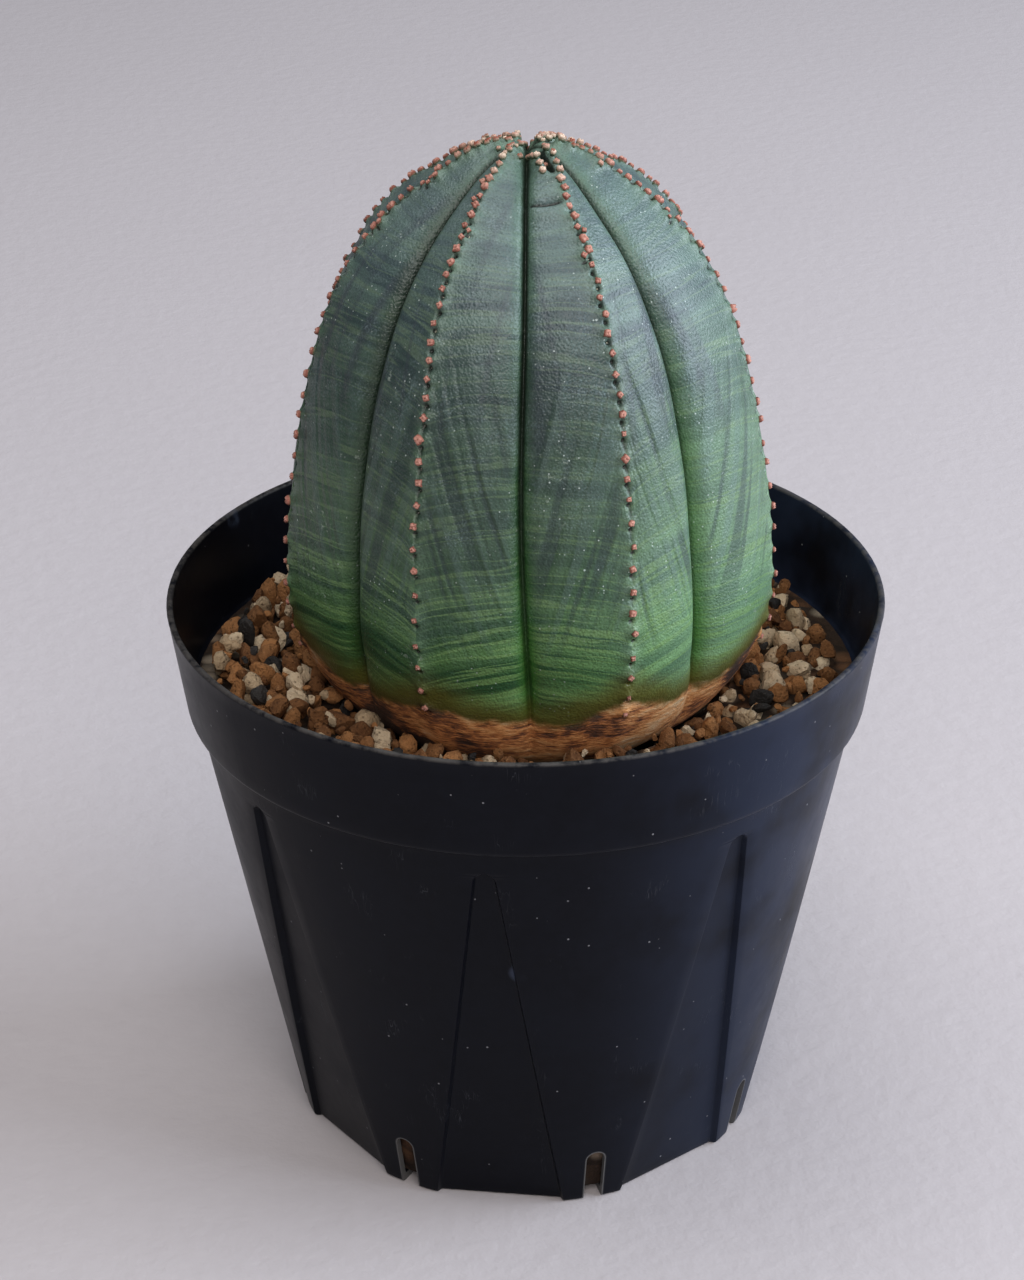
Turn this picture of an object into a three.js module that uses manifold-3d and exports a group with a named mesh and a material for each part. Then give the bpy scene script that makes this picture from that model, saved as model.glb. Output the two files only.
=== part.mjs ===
// Potted euphorbia: a ribbed globe-shaped succulent, grown in one piece with its root,
// in a thin-walled nursery pot filled with granular potting mix.
// Units are millimetres, +Z is up, the origin is the middle of the pot's foot.

import * as THREE from 'three';
import { ConvexGeometry } from 'three/addons/geometries/ConvexGeometry.js';
import { mergeVertices } from 'three/addons/utils/BufferGeometryUtils.js';
import Module from 'manifold-3d';

const wasm = await Module();
wasm.setup();

// ---- Driving dimensions: pot ----
const POT_HEIGHT = 85.3;
const FOOT_RADIUS = 35.8;
const WALL_TOP_RADIUS = 48.9;      // outside of the wall just under the rim band
const RIM_RADIUS = 52.5;           // outside of the lip
const WALL = 1.0;                  // thickness of wall, floor and rim band
const BAND_HEIGHT = 15.9;          // plain band from its lower edge to the lip
const BAND_STEP = 1.3;             // how far the band's lower edge stands out from the wall
const EDGE_ROUND = 0.5;            // rounding of foot, band edge and lip
const PANEL_COUNT = 8;             // flat recessed panels, and drain slots between them
const PANEL_TURN = -7;             // degrees, middle of the panel nearest the front
const PANEL_HALF_WIDTH = 9.4;      // at the foot
const PANEL_TIP_HALF_WIDTH = 1.5;  // at the rounded tip
const PANEL_DEPTH = 0.8;           // step from the wall down to the panel
const PANEL_TIP_DROP = 4.2;        // tip of the panel below the band's lower edge
const SLOT_WIDTH = 2.8;
const SLOT_HEIGHT = 9.7;
const SLOT_REACH = 3.6;            // how far a slot runs in under the floor

// ---- Driving dimensions: potting mix ----
const HEADSPACE = 14.3;            // lip down to the top of the packed mix
const FIT_GAP = 0.3;               // clearance between pieces that touch
const GRAIN_COUNT = 40;
const GRAIN_SIZE = 6.0;            // ball that holds the largest loose granule
const GRAIN_SIZE_SPREAD = 0.3;     // smallest granule is this share smaller

// ---- Driving dimensions: plant ----
const PLANT_OFFSET_X = 0.6;        // the plant stands slightly off the pot's axis
const PLANT_OFFSET_Y = 2.0;
const PLANT_RADIUS = 36.0;         // over the rib crests, at the widest
const NECK_RADIUS = 29.6;          // where the plant enters the mix
const PLANT_HEIGHT = 81.0;         // top of the crown above the packed mix
const WAIST_SHARE = 0.24;          // height of the widest place, as a share of the height
const CROWN_RADIUS = 3.8;          // ring of highest ground around the sunken centre
const CROWN_DEPTH = 1.6;
const ROOT_DEPTH = 44.0;           // tip of the taproot below the top of the mix
const ROOT_GAP = 2 * FIT_GAP;      // sideways clearance round the slanting root
const FURROW_DEPTH = 3.4;          // crease between two ribs at the waist
const TUBERCLE_RADIUS = 1.0;
const TUBERCLES_PER_RIB = 12;

// Rib crests run at these azimuths, in degrees from the front, positive to the right.
const RIB_CRESTS = [-26, 23, 75, 118, 160, 204, 245, 286];
const FURROWS = [-1, 43.5, 96, 139, 182, 225, 266, 313.5];

// Outline of the plant above the waist: share of the height left, share of the radius.
const DOME_OUTLINE = [
  [0.00, 1.000], [0.115, 0.992], [0.24, 0.962], [0.36, 0.915], [0.476, 0.865],
  [0.59, 0.800], [0.695, 0.722], [0.78, 0.634], [0.847, 0.530], [0.904, 0.425], [0.942, 0.340],
  [0.97, 0.245],
];

// ---- Levels that follow from the sizes above ----
const BAND_Z = POT_HEIGHT - BAND_HEIGHT;
const MIX_Z = POT_HEIGHT - HEADSPACE;
const CROWN_Z = MIX_Z + PLANT_HEIGHT;
const WAIST_Z = MIX_Z + PLANT_HEIGHT * WAIST_SHARE;
const PANEL_TIP_Z = BAND_Z - PANEL_TIP_DROP;
const TURN_STEPS = 64;             // sides of every turned shape

const degrees = (angle) => angle * Math.PI / 180;
const lerp = (a, b, share) => a + (b - a) * share;

// Outside radius of the plain cone at a height, without the panels.
function coneRadius(z) {
  return lerp(FOOT_RADIUS, WALL_TOP_RADIUS, z / BAND_Z);
}

// Outside radius of the rim band at a height.
function bandRadius(z) {
  return lerp(WALL_TOP_RADIUS + BAND_STEP, RIM_RADIUS, (z - BAND_Z) / BAND_HEIGHT);
}

// Repeatable scatter value between 0 and 1 for a piece number and a use.
function scatter(number, use) {
  const value = Math.sin(number * 127.1 + use * 311.7 + 17.3) * 43758.5453;
  return value - Math.floor(value);
}

// ---- Solids ----

// Turns a closed three.js geometry into a solid with merged corners and outward faces.
function toSolid(geometry) {
  const plain = geometry.clone();
  plain.deleteAttribute('normal');
  plain.deleteAttribute('uv');
  const merged = mergeVertices(plain, 1e-4);
  const spots = merged.attributes.position;
  const kept = [];
  let volume = 0;
  const a = new THREE.Vector3();
  const b = new THREE.Vector3();
  const c = new THREE.Vector3();
  for (let i = 0; i < merged.index.count; i += 3) {
    const corners = [0, 1, 2].map((k) => merged.index.getX(i + k));
    if (new Set(corners).size < 3) {
      continue;
    }
    a.fromBufferAttribute(spots, corners[0]);
    b.fromBufferAttribute(spots, corners[1]);
    c.fromBufferAttribute(spots, corners[2]);
    volume += a.dot(b.cross(c));
    kept.push(corners);
  }
  const triangles = kept.flatMap(([p, q, r]) => (volume > 0 ? [p, q, r] : [p, r, q]));
  return new wasm.Manifold(new wasm.Mesh({
    numProp: 3,
    vertProperties: new Float32Array(spots.array),
    triVerts: new Uint32Array(triangles),
  }));
}

// Turns a solid back into a three.js geometry.
function toGeometry(solid) {
  const mesh = solid.getMesh();
  const geometry = new THREE.BufferGeometry();
  geometry.setAttribute('position', new THREE.BufferAttribute(mesh.vertProperties, 3));
  geometry.setIndex(new THREE.BufferAttribute(mesh.triVerts, 1));
  geometry.computeVertexNormals();
  return geometry;
}

// A solid of revolution about +Z from [radius, height] points that start and end on the axis.
function turned(points) {
  const outline = points.map(([radius, z]) => new THREE.Vector2(radius, z));
  const geometry = new THREE.LatheGeometry(outline, TURN_STEPS);
  geometry.rotateX(Math.PI / 2);
  return toSolid(geometry);
}

// ---- Pot ----

// A wedge whose inner face is one flat panel, grown sideways and inwards by an inset.
function panelWedge(turn, inset) {
  const footDistance = Math.sqrt(FOOT_RADIUS ** 2 - PANEL_HALF_WIDTH ** 2) - PANEL_DEPTH;
  const tipDistance = coneRadius(PANEL_TIP_Z) - PANEL_DEPTH;
  const lean = Math.atan2(tipDistance - footDistance, PANEL_TIP_Z);
  const length = PANEL_TIP_Z / Math.cos(lean);
  const tipRadius = PANEL_TIP_HALF_WIDTH + inset;
  const tipCentre = length - PANEL_TIP_HALF_WIDTH;
  const spread = (PANEL_HALF_WIDTH - PANEL_TIP_HALF_WIDTH) / tipCentre;
  const below = 20;
  const footHalfWidth = PANEL_HALF_WIDTH + inset + spread * below;
  const shape = new THREE.Shape();
  shape.moveTo(-footHalfWidth, -below);
  shape.lineTo(footHalfWidth, -below);
  shape.lineTo(tipRadius, tipCentre);
  shape.absarc(0, tipCentre, tipRadius, 0, Math.PI, false);
  shape.closePath();
  const geometry = new THREE.ExtrudeGeometry(shape, { depth: 12, bevelEnabled: false, curveSegments: 4 });
  // The shape stands upright with its thickness pointing out, leaning with the wall.
  geometry.rotateX(Math.PI / 2);
  geometry.rotateX(lean);
  geometry.translate(0, -footDistance + inset / Math.cos(lean), 0);
  geometry.rotateZ(degrees(turn));
  return toSolid(geometry);
}

function withoutPanels(solid, inset) {
  let result = solid;
  for (let i = 0; i < PANEL_COUNT; i += 1) {
    const turn = PANEL_TURN + i * 360 / PANEL_COUNT;
    result = result.subtract(panelWedge(turn, inset));
  }
  return result;
}

// The pot's outside shape, filled.
function potOutside() {
  const wall = turned([
    [0, 0],
    [FOOT_RADIUS - EDGE_ROUND, 0],
    [FOOT_RADIUS, EDGE_ROUND],
    [coneRadius(BAND_Z - EDGE_ROUND), BAND_Z - EDGE_ROUND],
    [bandRadius(BAND_Z) - EDGE_ROUND, BAND_Z],
    [bandRadius(BAND_Z + EDGE_ROUND), BAND_Z + EDGE_ROUND],
    [bandRadius(POT_HEIGHT - EDGE_ROUND / 2), POT_HEIGHT - EDGE_ROUND / 2],
    [RIM_RADIUS - EDGE_ROUND / 2, POT_HEIGHT],
    [0, POT_HEIGHT],
  ]);
  return withoutPanels(wall, 0);
}

// The hollow of the pot, moved in by an inset from the outside and open past the lip.
function potHollow(inset) {
  const shoulder = BAND_Z + inset;
  const top = POT_HEIGHT + EDGE_ROUND;
  const points = [
    [0, inset],
    [coneRadius(inset) - inset - EDGE_ROUND, inset],
    [coneRadius(inset) - inset, inset + EDGE_ROUND],
    [coneRadius(BAND_Z) - inset, shoulder - EDGE_ROUND],
    [bandRadius(shoulder) - inset, shoulder + EDGE_ROUND],
    [bandRadius(top) - inset, top],
    [0, top],
  ];
  return withoutPanels(turned(points), inset);
}

// Round-topped slots through the foot of the wall, running a little way in under the floor.
function drainSlots() {
  const half = SLOT_WIDTH / 2;
  const shape = new THREE.Shape();
  shape.moveTo(-half, -EDGE_ROUND);
  shape.lineTo(half, -EDGE_ROUND);
  shape.lineTo(half, SLOT_HEIGHT - half);
  shape.absarc(0, SLOT_HEIGHT - half, half, 0, Math.PI, false);
  shape.closePath();
  const slots = [];
  for (let i = 0; i < PANEL_COUNT; i += 1) {
    const geometry = new THREE.ExtrudeGeometry(shape, {
      depth: SLOT_REACH + 4,
      bevelEnabled: false,
      curveSegments: 6,
    });
    geometry.rotateX(Math.PI / 2);
    geometry.translate(0, -(FOOT_RADIUS - SLOT_REACH), 0);
    geometry.rotateZ(degrees(PANEL_TURN + (i + 0.5) * 360 / PANEL_COUNT));
    slots.push(toSolid(geometry));
  }
  return slots;
}

function makePot() {
  let pot = potOutside().subtract(potHollow(WALL));
  for (const slot of drainSlots()) {
    pot = pot.subtract(slot);
  }
  return pot;
}

// ---- Plant ----

// Radius over the rib crests at a height, from the root tip to the rim of the crown.
function crestRadius(z) {
  if (z < MIX_Z) {
    const depth = (MIX_Z - z) / ROOT_DEPTH;
    return NECK_RADIUS * Math.pow(Math.max(1 - depth, 0), 0.9) * (1 - 0.35 * Math.sin(Math.PI * depth));
  }
  if (z < WAIST_Z) {
    const share = (z - MIX_Z) / (WAIST_Z - MIX_Z);
    return lerp(NECK_RADIUS, PLANT_RADIUS, Math.sin(share * Math.PI / 2) ** 0.9);
  }
  const share = (z - WAIST_Z) / (CROWN_Z - WAIST_Z);
  for (let i = 1; i < DOME_OUTLINE.length; i += 1) {
    const [low, lowRadius] = DOME_OUTLINE[i - 1];
    const [high, highRadius] = DOME_OUTLINE[i];
    if (share <= high) {
      return PLANT_RADIUS * lerp(lowRadius, highRadius, (share - low) / (high - low));
    }
  }
  const [last, lastRadius] = DOME_OUTLINE[DOME_OUTLINE.length - 1];
  return lerp(PLANT_RADIUS * lastRadius, CROWN_RADIUS, (share - last) / (1 - last));
}

// Azimuths of the columns: each rib has the same number between its two furrows.
const COLUMNS_PER_HALF_RIB = 5;
function ribColumns() {
  const columns = [];
  for (let rib = 0; rib < RIB_CRESTS.length; rib += 1) {
    const crest = RIB_CRESTS[rib];
    const before = rib === 0 ? FURROWS[FURROWS.length - 1] - 360 : FURROWS[rib - 1];
    const after = FURROWS[rib];
    for (let i = 0; i < COLUMNS_PER_HALF_RIB; i += 1) {
      const away = 1 - (i / COLUMNS_PER_HALF_RIB) ** 0.7;
      columns.push({ azimuth: lerp(crest, before, away), away });
    }
    for (let i = 0; i < COLUMNS_PER_HALF_RIB; i += 1) {
      const away = 1 - (1 - i / COLUMNS_PER_HALF_RIB) ** 0.7;
      columns.push({ azimuth: lerp(crest, after, away), away });
    }
  }
  return columns;
}

// How far the flank of a rib falls back: 0 at the crest, 1 in the furrow.
function ribFall(away) {
  return 0.45 * away ** 2 + 0.55 * away ** 7;
}

// Strength of the ribs at a height: none on the root, full from the waist up.
function ribStrength(z) {
  const share = (z - MIX_Z) / (WAIST_Z - MIX_Z);
  return Math.min(Math.max(share, 0), 1);
}

function onPlant(azimuth, radius, z) {
  const angle = degrees(azimuth);
  return [
    PLANT_OFFSET_X + radius * Math.sin(angle),
    PLANT_OFFSET_Y - radius * Math.cos(angle),
    z,
  ];
}

// Heights of the rings of the root, between its tip and the top of the mix.
function rootLevels() {
  const steps = 8;
  const levels = [];
  for (let i = 1; i < steps; i += 1) {
    levels.push(lerp(MIX_Z - ROOT_DEPTH, MIX_Z, (i / steps) ** 0.8));
  }
  return levels;
}

// Rings of the grown body, from just above the root tip to the sunken centre of the crown.
function plantRings() {
  const rings = rootLevels().map((z) => ({ z, radius: crestRadius(z), furrow: 0 }));
  const bodySteps = 20;
  for (let i = 0; i <= bodySteps; i += 1) {
    const z = MIX_Z + PLANT_HEIGHT * Math.sin(i / bodySteps * Math.PI / 2);
    const radius = crestRadius(z);
    rings.push({ z, radius, furrow: FURROW_DEPTH * ribStrength(z) * Math.min(radius / 22, 1) });
  }
  const crownSteps = 3;
  for (let i = 1; i < crownSteps; i += 1) {
    const share = i / crownSteps;
    const z = CROWN_Z - CROWN_DEPTH * (1 - Math.cos(share * Math.PI / 2));
    const radius = CROWN_RADIUS * (1 - share * 0.9);
    rings.push({ z, radius, furrow: FURROW_DEPTH * 0.3 * (1 - share) });
  }
  return rings;
}

function makeGrownBody() {
  const columns = ribColumns();
  const rings = plantRings();
  const spots = [];
  for (const ring of rings) {
    for (const { azimuth, away } of columns) {
      const radius = ring.radius - ring.furrow * ribFall(away);
      spots.push(...onPlant(azimuth, radius, ring.z));
    }
  }
  const rootTip = spots.length / 3;
  spots.push(...onPlant(0, 0, MIX_Z - ROOT_DEPTH));
  const crownCentre = rootTip + 1;
  spots.push(...onPlant(0, 0, CROWN_Z - CROWN_DEPTH));
  const faces = [];
  const count = columns.length;
  for (let i = 0; i < count; i += 1) {
    const next = (i + 1) % count;
    faces.push(rootTip, next, i);
    for (let row = 0; row < rings.length - 1; row += 1) {
      const low = row * count;
      const high = low + count;
      faces.push(low + i, low + next, high + next);
      faces.push(low + i, high + next, high + i);
    }
    const top = (rings.length - 1) * count;
    faces.push(crownCentre, top + i, top + next);
  }
  const geometry = new THREE.BufferGeometry();
  geometry.setAttribute('position', new THREE.Float32BufferAttribute(spots, 3));
  geometry.setIndex(faces);
  return toSolid(geometry);
}

// Knobs in a row down each rib crest, closer together towards the crown.
function makePlant() {
  let plant = makeGrownBody();
  for (let rib = 0; rib < RIB_CRESTS.length; rib += 1) {
    for (let i = 0; i < TUBERCLES_PER_RIB; i += 1) {
      const share = 0.16 + 0.82 * (i / (TUBERCLES_PER_RIB - 1)) ** 0.8;
      const z = MIX_Z + PLANT_HEIGHT * share;
      const knob = new THREE.OctahedronGeometry(TUBERCLE_RADIUS, 0);
      knob.rotateX(rib + 0.7 * i);
      knob.translate(...onPlant(RIB_CRESTS[rib], crestRadius(z), z));
      plant = plant.add(toSolid(knob));
    }
  }
  return plant;
}

// ---- Potting mix ----

// Widest radius of the plant between two levels, for the clearance around it.
function widestPlant(low, high) {
  return Math.max(crestRadius(low), crestRadius(high), crestRadius((low + high) / 2));
}

// Smallest inside radius of the pot between two levels.
function innerRadius(low) {
  return low > BAND_Z + WALL + EDGE_ROUND ? bandRadius(low) - WALL : coneRadius(low) - WALL;
}

// The packed mix: it fills the pot to its level and leaves the shape of the root free.
function makeMix() {
  const sky = 2 * POT_HEIGHT;
  const above = turned([[0, MIX_Z], [2 * RIM_RADIUS, MIX_Z], [2 * RIM_RADIUS, sky], [0, sky]]);
  const points = [[0, MIX_Z - ROOT_DEPTH - ROOT_GAP]];
  for (const z of rootLevels()) {
    points.push([crestRadius(z) + ROOT_GAP, z]);
  }
  points.push([NECK_RADIUS + ROOT_GAP, MIX_Z]);
  points.push([NECK_RADIUS + ROOT_GAP, sky]);
  points.push([0, sky]);
  const root = turned(points).translate([PLANT_OFFSET_X, PLANT_OFFSET_Y, 0]);
  return potHollow(WALL + FIT_GAP).subtract(above).subtract(root);
}

const GRAIN_KINDS = [
  { name: 'pumice', color: 0xcfc3ad, roughness: 0.95 },
  { name: 'akadama', color: 0xa8693a, roughness: 0.95 },
  { name: 'pumice', color: 0xbdae95, roughness: 0.95 },
  { name: 'akadama', color: 0x8a5230, roughness: 0.95 },
  { name: 'charcoal', color: 0x1d1b1a, roughness: 0.8 },
];

// One angular granule that fits in a ball of the given size, resting on z = 0.
function granule(number, size) {
  const corners = [];
  const count = 14;
  const flat = 0.62 + 0.2 * scatter(number, 1);
  const narrow = 0.72 + 0.28 * scatter(number, 2);
  for (let i = 0; i < count; i += 1) {
    const height = 1 - 2 * (i + 0.5) / count;
    const around = i * 2.39996 + 6.283 * scatter(number, 3);
    const reach = size / 2 * (0.84 + 0.16 * scatter(number, 10 + i));
    const ring = Math.sqrt(1 - height * height);
    corners.push(new THREE.Vector3(
      reach * ring * Math.cos(around),
      reach * ring * Math.sin(around) * narrow,
      reach * height * flat,
    ));
  }
  const geometry = new ConvexGeometry(corners);
  geometry.rotateZ(6.283 * scatter(number, 4));
  geometry.computeBoundingBox();
  geometry.translate(0, 0, -geometry.boundingBox.min.z);
  return toSolid(geometry);
}

// Places one loose granule on the mix, in the ring between the plant and the pot's wall.
function placeGranule(number, size) {
  const azimuth = number * 360 / GRAIN_COUNT;
  const angle = degrees(azimuth);
  const directionX = Math.sin(angle);
  const directionY = -Math.cos(angle);
  const level = MIX_Z + FIT_GAP;
  const inside = widestPlant(level, level + size) + FIT_GAP + size / 2;
  const wall = innerRadius(level) - FIT_GAP - size / 2;
  const along = PLANT_OFFSET_X * directionX + PLANT_OFFSET_Y * directionY;
  const offsetSquared = PLANT_OFFSET_X ** 2 + PLANT_OFFSET_Y ** 2;
  const outside = Math.sqrt(along * along - offsetSquared + wall * wall) - along;
  const share = (number * 0.618034) % 1;
  const reach = lerp(inside, outside, share);
  return [PLANT_OFFSET_X + directionX * reach, PLANT_OFFSET_Y + directionY * reach, level];
}

// ---- Assembly ----

function makeMesh(name, solid, color, roughness) {
  const material = new THREE.MeshStandardMaterial({ color, roughness, metalness: 0 });
  const mesh = new THREE.Mesh(toGeometry(solid), material);
  mesh.name = name;
  return mesh;
}

const pottedPlant = new THREE.Group();
pottedPlant.add(makeMesh('pot', makePot(), 0x17181b, 0.45));
pottedPlant.add(makeMesh('plant', makePlant(), 0x4f7a52, 0.6));
pottedPlant.add(makeMesh('potting_mix', makeMix(), 0x6a4a33, 0.95));

const kindNumbers = {};
for (let i = 0; i < GRAIN_COUNT; i += 1) {
  const kind = GRAIN_KINDS[i % GRAIN_KINDS.length];
  kindNumbers[kind.name] = (kindNumbers[kind.name] ?? 0) + 1;
  const name = `${kind.name}_grain_${String(kindNumbers[kind.name]).padStart(2, '0')}`;
  const size = GRAIN_SIZE * (1 - GRAIN_SIZE_SPREAD * scatter(i, 5));
  const mesh = makeMesh(name, granule(i, size), kind.color, kind.roughness);
  mesh.position.set(...placeGranule(i, size));
  pottedPlant.add(mesh);
}

export default pottedPlant;
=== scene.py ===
# %% [markdown]
# # A ribbed succulent in a nursery pot
# This lesson rebuilds the looks of a potted euphorbia around a finished CAD model.
# The CAD model is the fixed frame: it says where everything is and how big it is.
# We load it first.

import math

import bpy
import bmesh
import numpy as np
from mathutils import Matrix, Vector


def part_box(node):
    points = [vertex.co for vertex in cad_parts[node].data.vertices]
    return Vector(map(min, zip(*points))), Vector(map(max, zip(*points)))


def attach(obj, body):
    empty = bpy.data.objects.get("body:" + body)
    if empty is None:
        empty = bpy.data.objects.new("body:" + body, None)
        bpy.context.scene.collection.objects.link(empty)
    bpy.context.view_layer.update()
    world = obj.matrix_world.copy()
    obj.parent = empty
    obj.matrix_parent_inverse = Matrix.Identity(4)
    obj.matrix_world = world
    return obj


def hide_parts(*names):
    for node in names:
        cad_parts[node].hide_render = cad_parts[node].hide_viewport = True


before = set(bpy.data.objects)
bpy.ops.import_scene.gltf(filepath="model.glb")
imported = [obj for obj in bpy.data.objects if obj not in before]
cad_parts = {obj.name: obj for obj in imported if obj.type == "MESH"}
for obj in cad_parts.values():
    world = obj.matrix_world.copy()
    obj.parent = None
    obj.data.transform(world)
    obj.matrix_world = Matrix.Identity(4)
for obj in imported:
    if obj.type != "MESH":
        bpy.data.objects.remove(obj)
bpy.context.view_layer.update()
print("CAD nodes:", len(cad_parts))

# %% [markdown]
# ## Sizes
# Blender works in metres, but a pot is easier to think about in millimetres. Every size
# below is in millimetres and is turned into metres when a mesh is made.
# The levels come from the CAD boxes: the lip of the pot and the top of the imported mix.

# %% Sizes of the pot and the levels
MM = 0.001
lip_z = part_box("pot")[1].z / MM
mix_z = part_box("potting_mix")[1].z / MM
foot_radius = 35.8
wall_top_radius = 48.9
rim_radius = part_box("pot")[1].x / MM
wall = 1.0
band_height = 15.9
band_z = lip_z - band_height
print(f"lip at {lip_z:.1f} mm, mix at {mix_z:.1f} mm, rim radius {rim_radius:.1f} mm")

# %% [markdown]
# ## Writing shader maths as plain expressions
# A material is a graph of nodes. Placing each Math node by hand hides what is worked out,
# so a small class wraps a socket and overloads + - * /. An expression then adds its nodes.
# `Board` holds one material. Its method `node` makes any kind of node, and a few short
# methods make the ones that are used most.

# %% Wires and boards
class Wire:
    """One output socket that can be used in sums."""

    def __init__(self, board, socket):
        self.board = board
        self.socket = socket

    def _maths(self, operation, *values):
        return self.board.node("ShaderNodeMath", {"operation": operation}, dict(enumerate(values)))

    def __add__(self, other):
        return self._maths("ADD", self, other)

    def __sub__(self, other):
        return self._maths("SUBTRACT", self, other)

    def __mul__(self, other):
        return self._maths("MULTIPLY", self, other)

    def __truediv__(self, other):
        return self._maths("DIVIDE", self, other)

    def __pow__(self, other):
        return self._maths("POWER", self, other)

    def __rsub__(self, other):
        return self._maths("SUBTRACT", other, self)

    __radd__ = __add__
    __rmul__ = __mul__

    def clip(self):
        """Keeps the value between 0 and 1."""
        held = self._maths("ADD", self, 0.0)
        held.socket.node.use_clamp = True
        return held

    def call(self, operation, *others):
        return self._maths(operation, self, *others)

    def step(self, low, high):
        """0 below low, 1 above high, smooth between them."""
        ends = {0: self, 1: low, 2: high, 3: 0.0, 4: 1.0}
        return self.board.node("ShaderNodeMapRange", {"interpolation_type": "SMOOTHSTEP"}, ends)


class Board:
    """The node tree of one material."""

    def __init__(self, name):
        self.material = bpy.data.materials.new(name)
        self.material.use_nodes = True
        self.tree = self.material.node_tree
        self.tree.nodes.clear()
        self.place = self.node("ShaderNodeTexCoord", out="Object")

    def node(self, kind, settings=None, inputs=None, out=0):
        node = self.tree.nodes.new(kind)
        for key, value in (settings or {}).items():
            if key == "stops":
                self._stops(node.color_ramp, value)
            else:
                setattr(node, key, value)
        for key, value in (inputs or {}).items():
            if isinstance(value, Wire):
                self.tree.links.new(value.socket, node.inputs[key])
            else:
                node.inputs[key].default_value = value
        return Wire(self, node.outputs[out]) if node.outputs else node

    @staticmethod
    def _stops(ramp, stops):
        while len(ramp.elements) < len(stops):
            ramp.elements.new(0.5)
        for element, (place, colour) in zip(ramp.elements, stops):
            element.position = place
            element.color = (*colour, 1.0)

    def axes(self, vector=None):
        source = vector or self.place
        split = self.tree.nodes.new("ShaderNodeSeparateXYZ")
        self.tree.links.new(source.socket, split.inputs[0])
        return [Wire(self, out) for out in split.outputs]

    def vector(self, x, y, z):
        return self.node("ShaderNodeCombineXYZ", None, {0: x, 1: y, 2: z})

    def attribute(self, name):
        return self.node("ShaderNodeAttribute", {"attribute_name": name}, None, 2)

    def noise(self, scale, detail=3.0, roughness=0.55, vector=None):
        inputs = {"Vector": vector or self.place, "Scale": scale,
                  "Detail": detail, "Roughness": roughness}
        return self.node("ShaderNodeTexNoise", None, inputs)

    def cells(self, scale, out=0, feature="F1"):
        inputs = {"Vector": self.place, "Scale": scale}
        return self.node("ShaderNodeTexVoronoi", {"feature": feature}, inputs, out)

    def specks(self, scale, size, share):
        """Dots in a share of the cells of a pattern."""
        spot = 1.0 - self.cells(scale).step(size * 0.5, size)
        pick = self.axes(self.cells(scale, out=1))[0]
        return spot * pick.step(1.0 - share, 1.01 - share)

    def ramp(self, stops, value):
        return self.node("ShaderNodeValToRGB", {"stops": stops}, {0: value})

    def blend(self, share, first, second):
        def colour(value):
            return value if isinstance(value, Wire) else (*value, 1.0)
        inputs = {0: share, 6: colour(first), 7: colour(second)}
        return self.node("ShaderNodeMix", {"data_type": "RGBA"}, inputs, 2)

    def bump(self, height, strength=1.0):
        """A normal from a height in metres."""
        inputs = {"Height": height, "Distance": 1.0, "Strength": strength}
        return self.node("ShaderNodeBump", None, inputs)

    def finish(self, colour, roughness, normal=None, **fixed):
        inputs = {"Base Color": colour, "Roughness": roughness}
        inputs.update({key.replace("_", " "): value for key, value in fixed.items()})
        if normal:
            inputs["Normal"] = normal
        shader = self.node("ShaderNodeBsdfPrincipled", None, inputs)
        self.node("ShaderNodeOutputMaterial", None, {"Surface": shader})
        return self.material


# %% [markdown]
# ## From numbers to a mesh
# Pieces that follow a formula are worked out as grids of points. These helpers turn points
# and faces into a mesh object, keep numbers on its points and measure it, so that later
# cells can stay with the shape.

# %% Mesh helpers
def show(name, data):
    """Puts a mesh, a lamp or a camera into the scene."""
    piece = bpy.data.objects.new(name, data)
    bpy.context.scene.collection.objects.link(piece)
    return piece


def add_mesh(name, points_mm, faces, smooth=True):
    mesh = bpy.data.meshes.new(name)
    mesh.from_pydata((np.asarray(points_mm) * MM).tolist(), [], faces)
    mesh.polygons.foreach_set("use_smooth", [smooth] * len(mesh.polygons))
    mesh.update()
    print(f"{name}: {len(mesh.vertices)} points, {len(mesh.polygons)} faces")
    return show(name, mesh)


def keep_values(piece, name, values):
    """Keeps one number per point under a name, for the finishes and the node trees."""
    layer = piece.data.attributes.new(name, "FLOAT", "POINT")
    layer.data.foreach_set("value", np.ascontiguousarray(values, np.float32))


def settled_mesh(piece, modifier):
    """The mesh that a modifier makes of a piece. The modifier is taken off."""
    seen = piece.evaluated_get(bpy.context.evaluated_depsgraph_get())
    mesh = bpy.data.meshes.new_from_object(seen)
    piece.modifiers.remove(modifier)
    return mesh


def print_volume(piece):
    solid = bmesh.new()
    solid.from_mesh(piece.data)
    print(f"{piece.name}: {solid.calc_volume(signed=True) * 1e6:.1f} ml, triangles "
          f"{sum(len(face.verts) - 2 for face in solid.faces)}, open edges "
          f"{sum(1 for edge in solid.edges if not edge.is_manifold)}")
    solid.free()


def grid_faces(rows, columns):
    """Faces of a grid that closes on itself sideways, row after row."""
    low = np.arange(rows - 1)[:, None] * columns
    across = np.arange(columns)[None, :]
    after = (across + 1) % columns
    corners = [low + across, low + after, low + columns + after, low + columns + across]
    return np.stack([c.ravel() for c in corners], axis=1).tolist()


# %% [markdown]
# ## Where the ribs run
# The plant has eight broad ribs. Each has a crest, which carries the tubercles, and is
# parted from the next by a narrow furrow. Nothing grown is quite even, so crests and
# furrows have their own azimuths, lean a little with height and wander slightly.
# A column is named by a number that grows by 2 per rib: even on a crest, odd in a furrow.

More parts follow.
